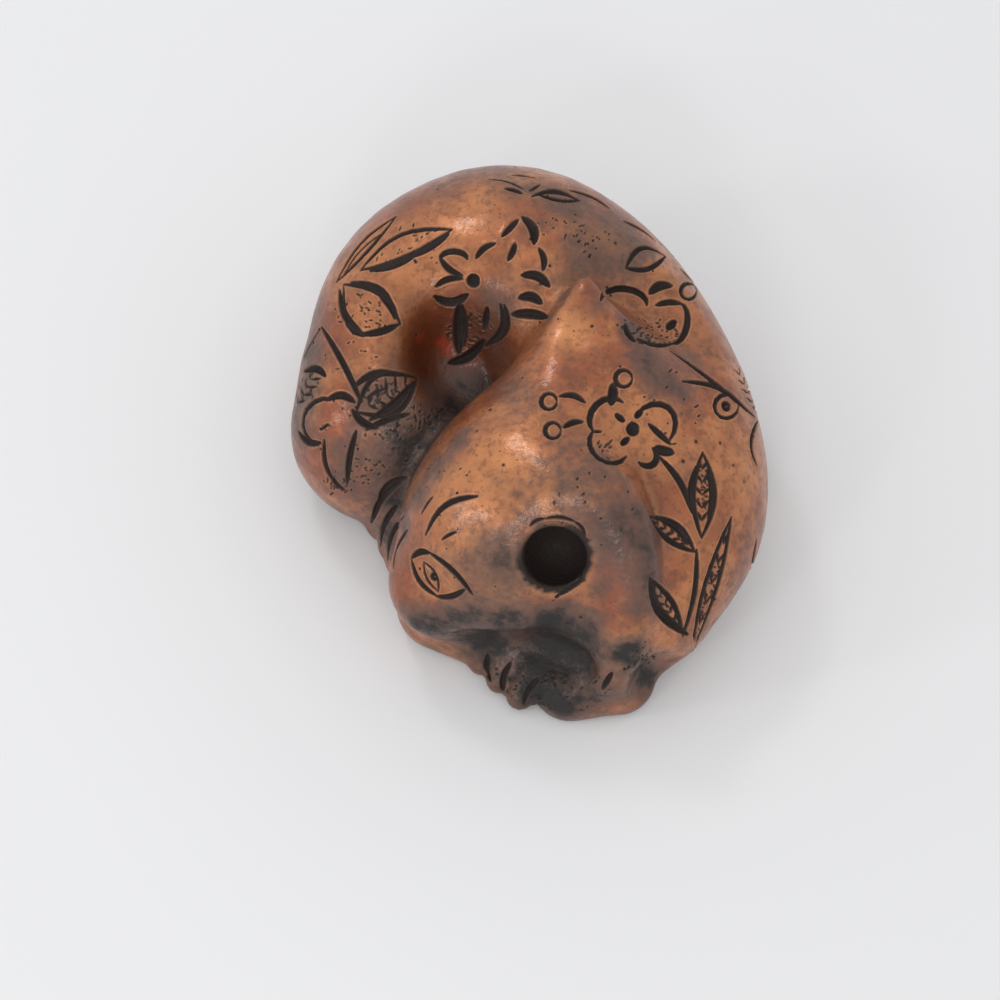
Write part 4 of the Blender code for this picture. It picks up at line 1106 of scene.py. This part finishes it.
class OKIMONO_OT_skin(bpy.types.Operator):
    """Make the engraved copper-bronze skin that stands for the solid"""

    bl_idname = "okimono.skin"
    bl_label = "Engraved skin"

    def execute(self, context):
        mesh = engraved_skin(context.scene.okimono_skin)
        mesh.name = "cat_skin"
        mesh.materials.clear()
        mesh.materials.append(bronze_material(context.scene.okimono_finish))
        piece = linked("cat_skin", mesh)
        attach(piece, "root")
        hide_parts(NODE)
        return {"FINISHED"}


# Softboxes as name, place, width and height, all facing a point just above the floor
SOFTBOXES = (
    ("left", (-0.36, -0.10, 0.18), 0.05, 0.07),
    ("top", (-0.13, 0.20, 0.32), 0.06, 0.05),
    ("front", (-0.05, -0.36, 0.24), 0.08, 0.05),
    ("side", (-0.26, -0.31, 0.23), 0.05, 0.05),
)
SOFTBOX_AIM = (0.0, 0.0, 0.01)


def chart_eye():
    """The eye and the middle of the front chart, in the frame's metres."""
    inward = chart_axes(*FRONT_CHART)[2]
    middle = np.array(CHART_MIDDLE)
    return (middle - inward * CHART_DISTANCE) * UNIT + SHIFT, middle * UNIT + SHIFT


class OKIMONO_OT_stage(bpy.types.Operator):
    """Make the pale floor, the soft light and the camera"""

    bl_idname = "okimono.stage"
    bl_label = "Stage"

    def execute(self, context):
        settings = context.scene.okimono_stage
        mesh = bpy.data.meshes.new("floor")
        shape = bmesh.new()
        bmesh.ops.create_grid(shape, x_segments=2, y_segments=2, size=settings.floor_size / 2)
        shape.to_mesh(mesh)
        shape.free()
        mesh.materials.append(floor_material(context.scene.okimono_finish))
        floor = linked("floor", mesh)
        for name, place, width, height in SOFTBOXES:
            light = bpy.data.lights.new(name, "AREA")
            light.shape = "RECTANGLE"
            light.size = width
            light.size_y = height
            light.energy = getattr(settings, name + "_power")
            face(linked(name, light), place, SOFTBOX_AIM)
        world = bpy.data.worlds.new("surround")
        world.use_nodes = True
        background = world.node_tree.nodes["Background"]
        feed(world.node_tree, background, Color=(1.0, 1.0, 1.0, 1.0), Strength=settings.surround)
        context.scene.world = world
        context.scene.view_settings.view_transform = "Standard"
        eye, middle = chart_eye()
        lens = bpy.data.cameras.new("camera")
        lens.sensor_width = 36.0
        lens.lens = lens.sensor_width * CHART_DISTANCE / FRAME_WIDTH
        lens.clip_start = 0.01
        context.scene.camera = linked("camera", lens)
        face(context.scene.camera, eye, middle)
        return {"FINISHED"}


class OKIMONO_PT_panel(bpy.types.Panel):
    """Sidebar panel with the ornament's settings and operators"""

    bl_label = "Okimono"
    bl_idname = "OKIMONO_PT_panel"
    bl_space_type = "VIEW_3D"
    bl_region_type = "UI"
    bl_category = "Okimono"

    def draw(self, context):
        for name, _ in SETTINGS:
            settings = getattr(context.scene, name)
            box = self.layout.box()
            for label in settings.__annotations__:
                box.prop(settings, label)
        self.layout.operator("okimono.skin")
        self.layout.operator("okimono.stage")


SETTINGS = (
    ("okimono_skin", OkimonoSkinSettings),
    ("okimono_finish", OkimonoFinishSettings),
    ("okimono_stage", OkimonoStageSettings),
)
TOOLS = (OKIMONO_OT_skin, OKIMONO_OT_stage, OKIMONO_PT_panel)


def register():
    """Register the classes and attach the settings to the scene."""
    for name, settings in SETTINGS:
        bpy.utils.register_class(settings)
        setattr(bpy.types.Scene, name, bpy.props.PointerProperty(type=settings))
    for tool in TOOLS:
        bpy.utils.register_class(tool)


def unregister():
    """Take the classes and settings away again."""
    for tool in reversed(TOOLS):
        bpy.utils.unregister_class(tool)
    for name, settings in reversed(SETTINGS):
        delattr(bpy.types.Scene, name)
        bpy.utils.unregister_class(settings)


def main():
    """Make every piece in order."""
    register()
    bpy.ops.okimono.skin()
    bpy.ops.okimono.stage()


if __name__ == "__main__":
    main()
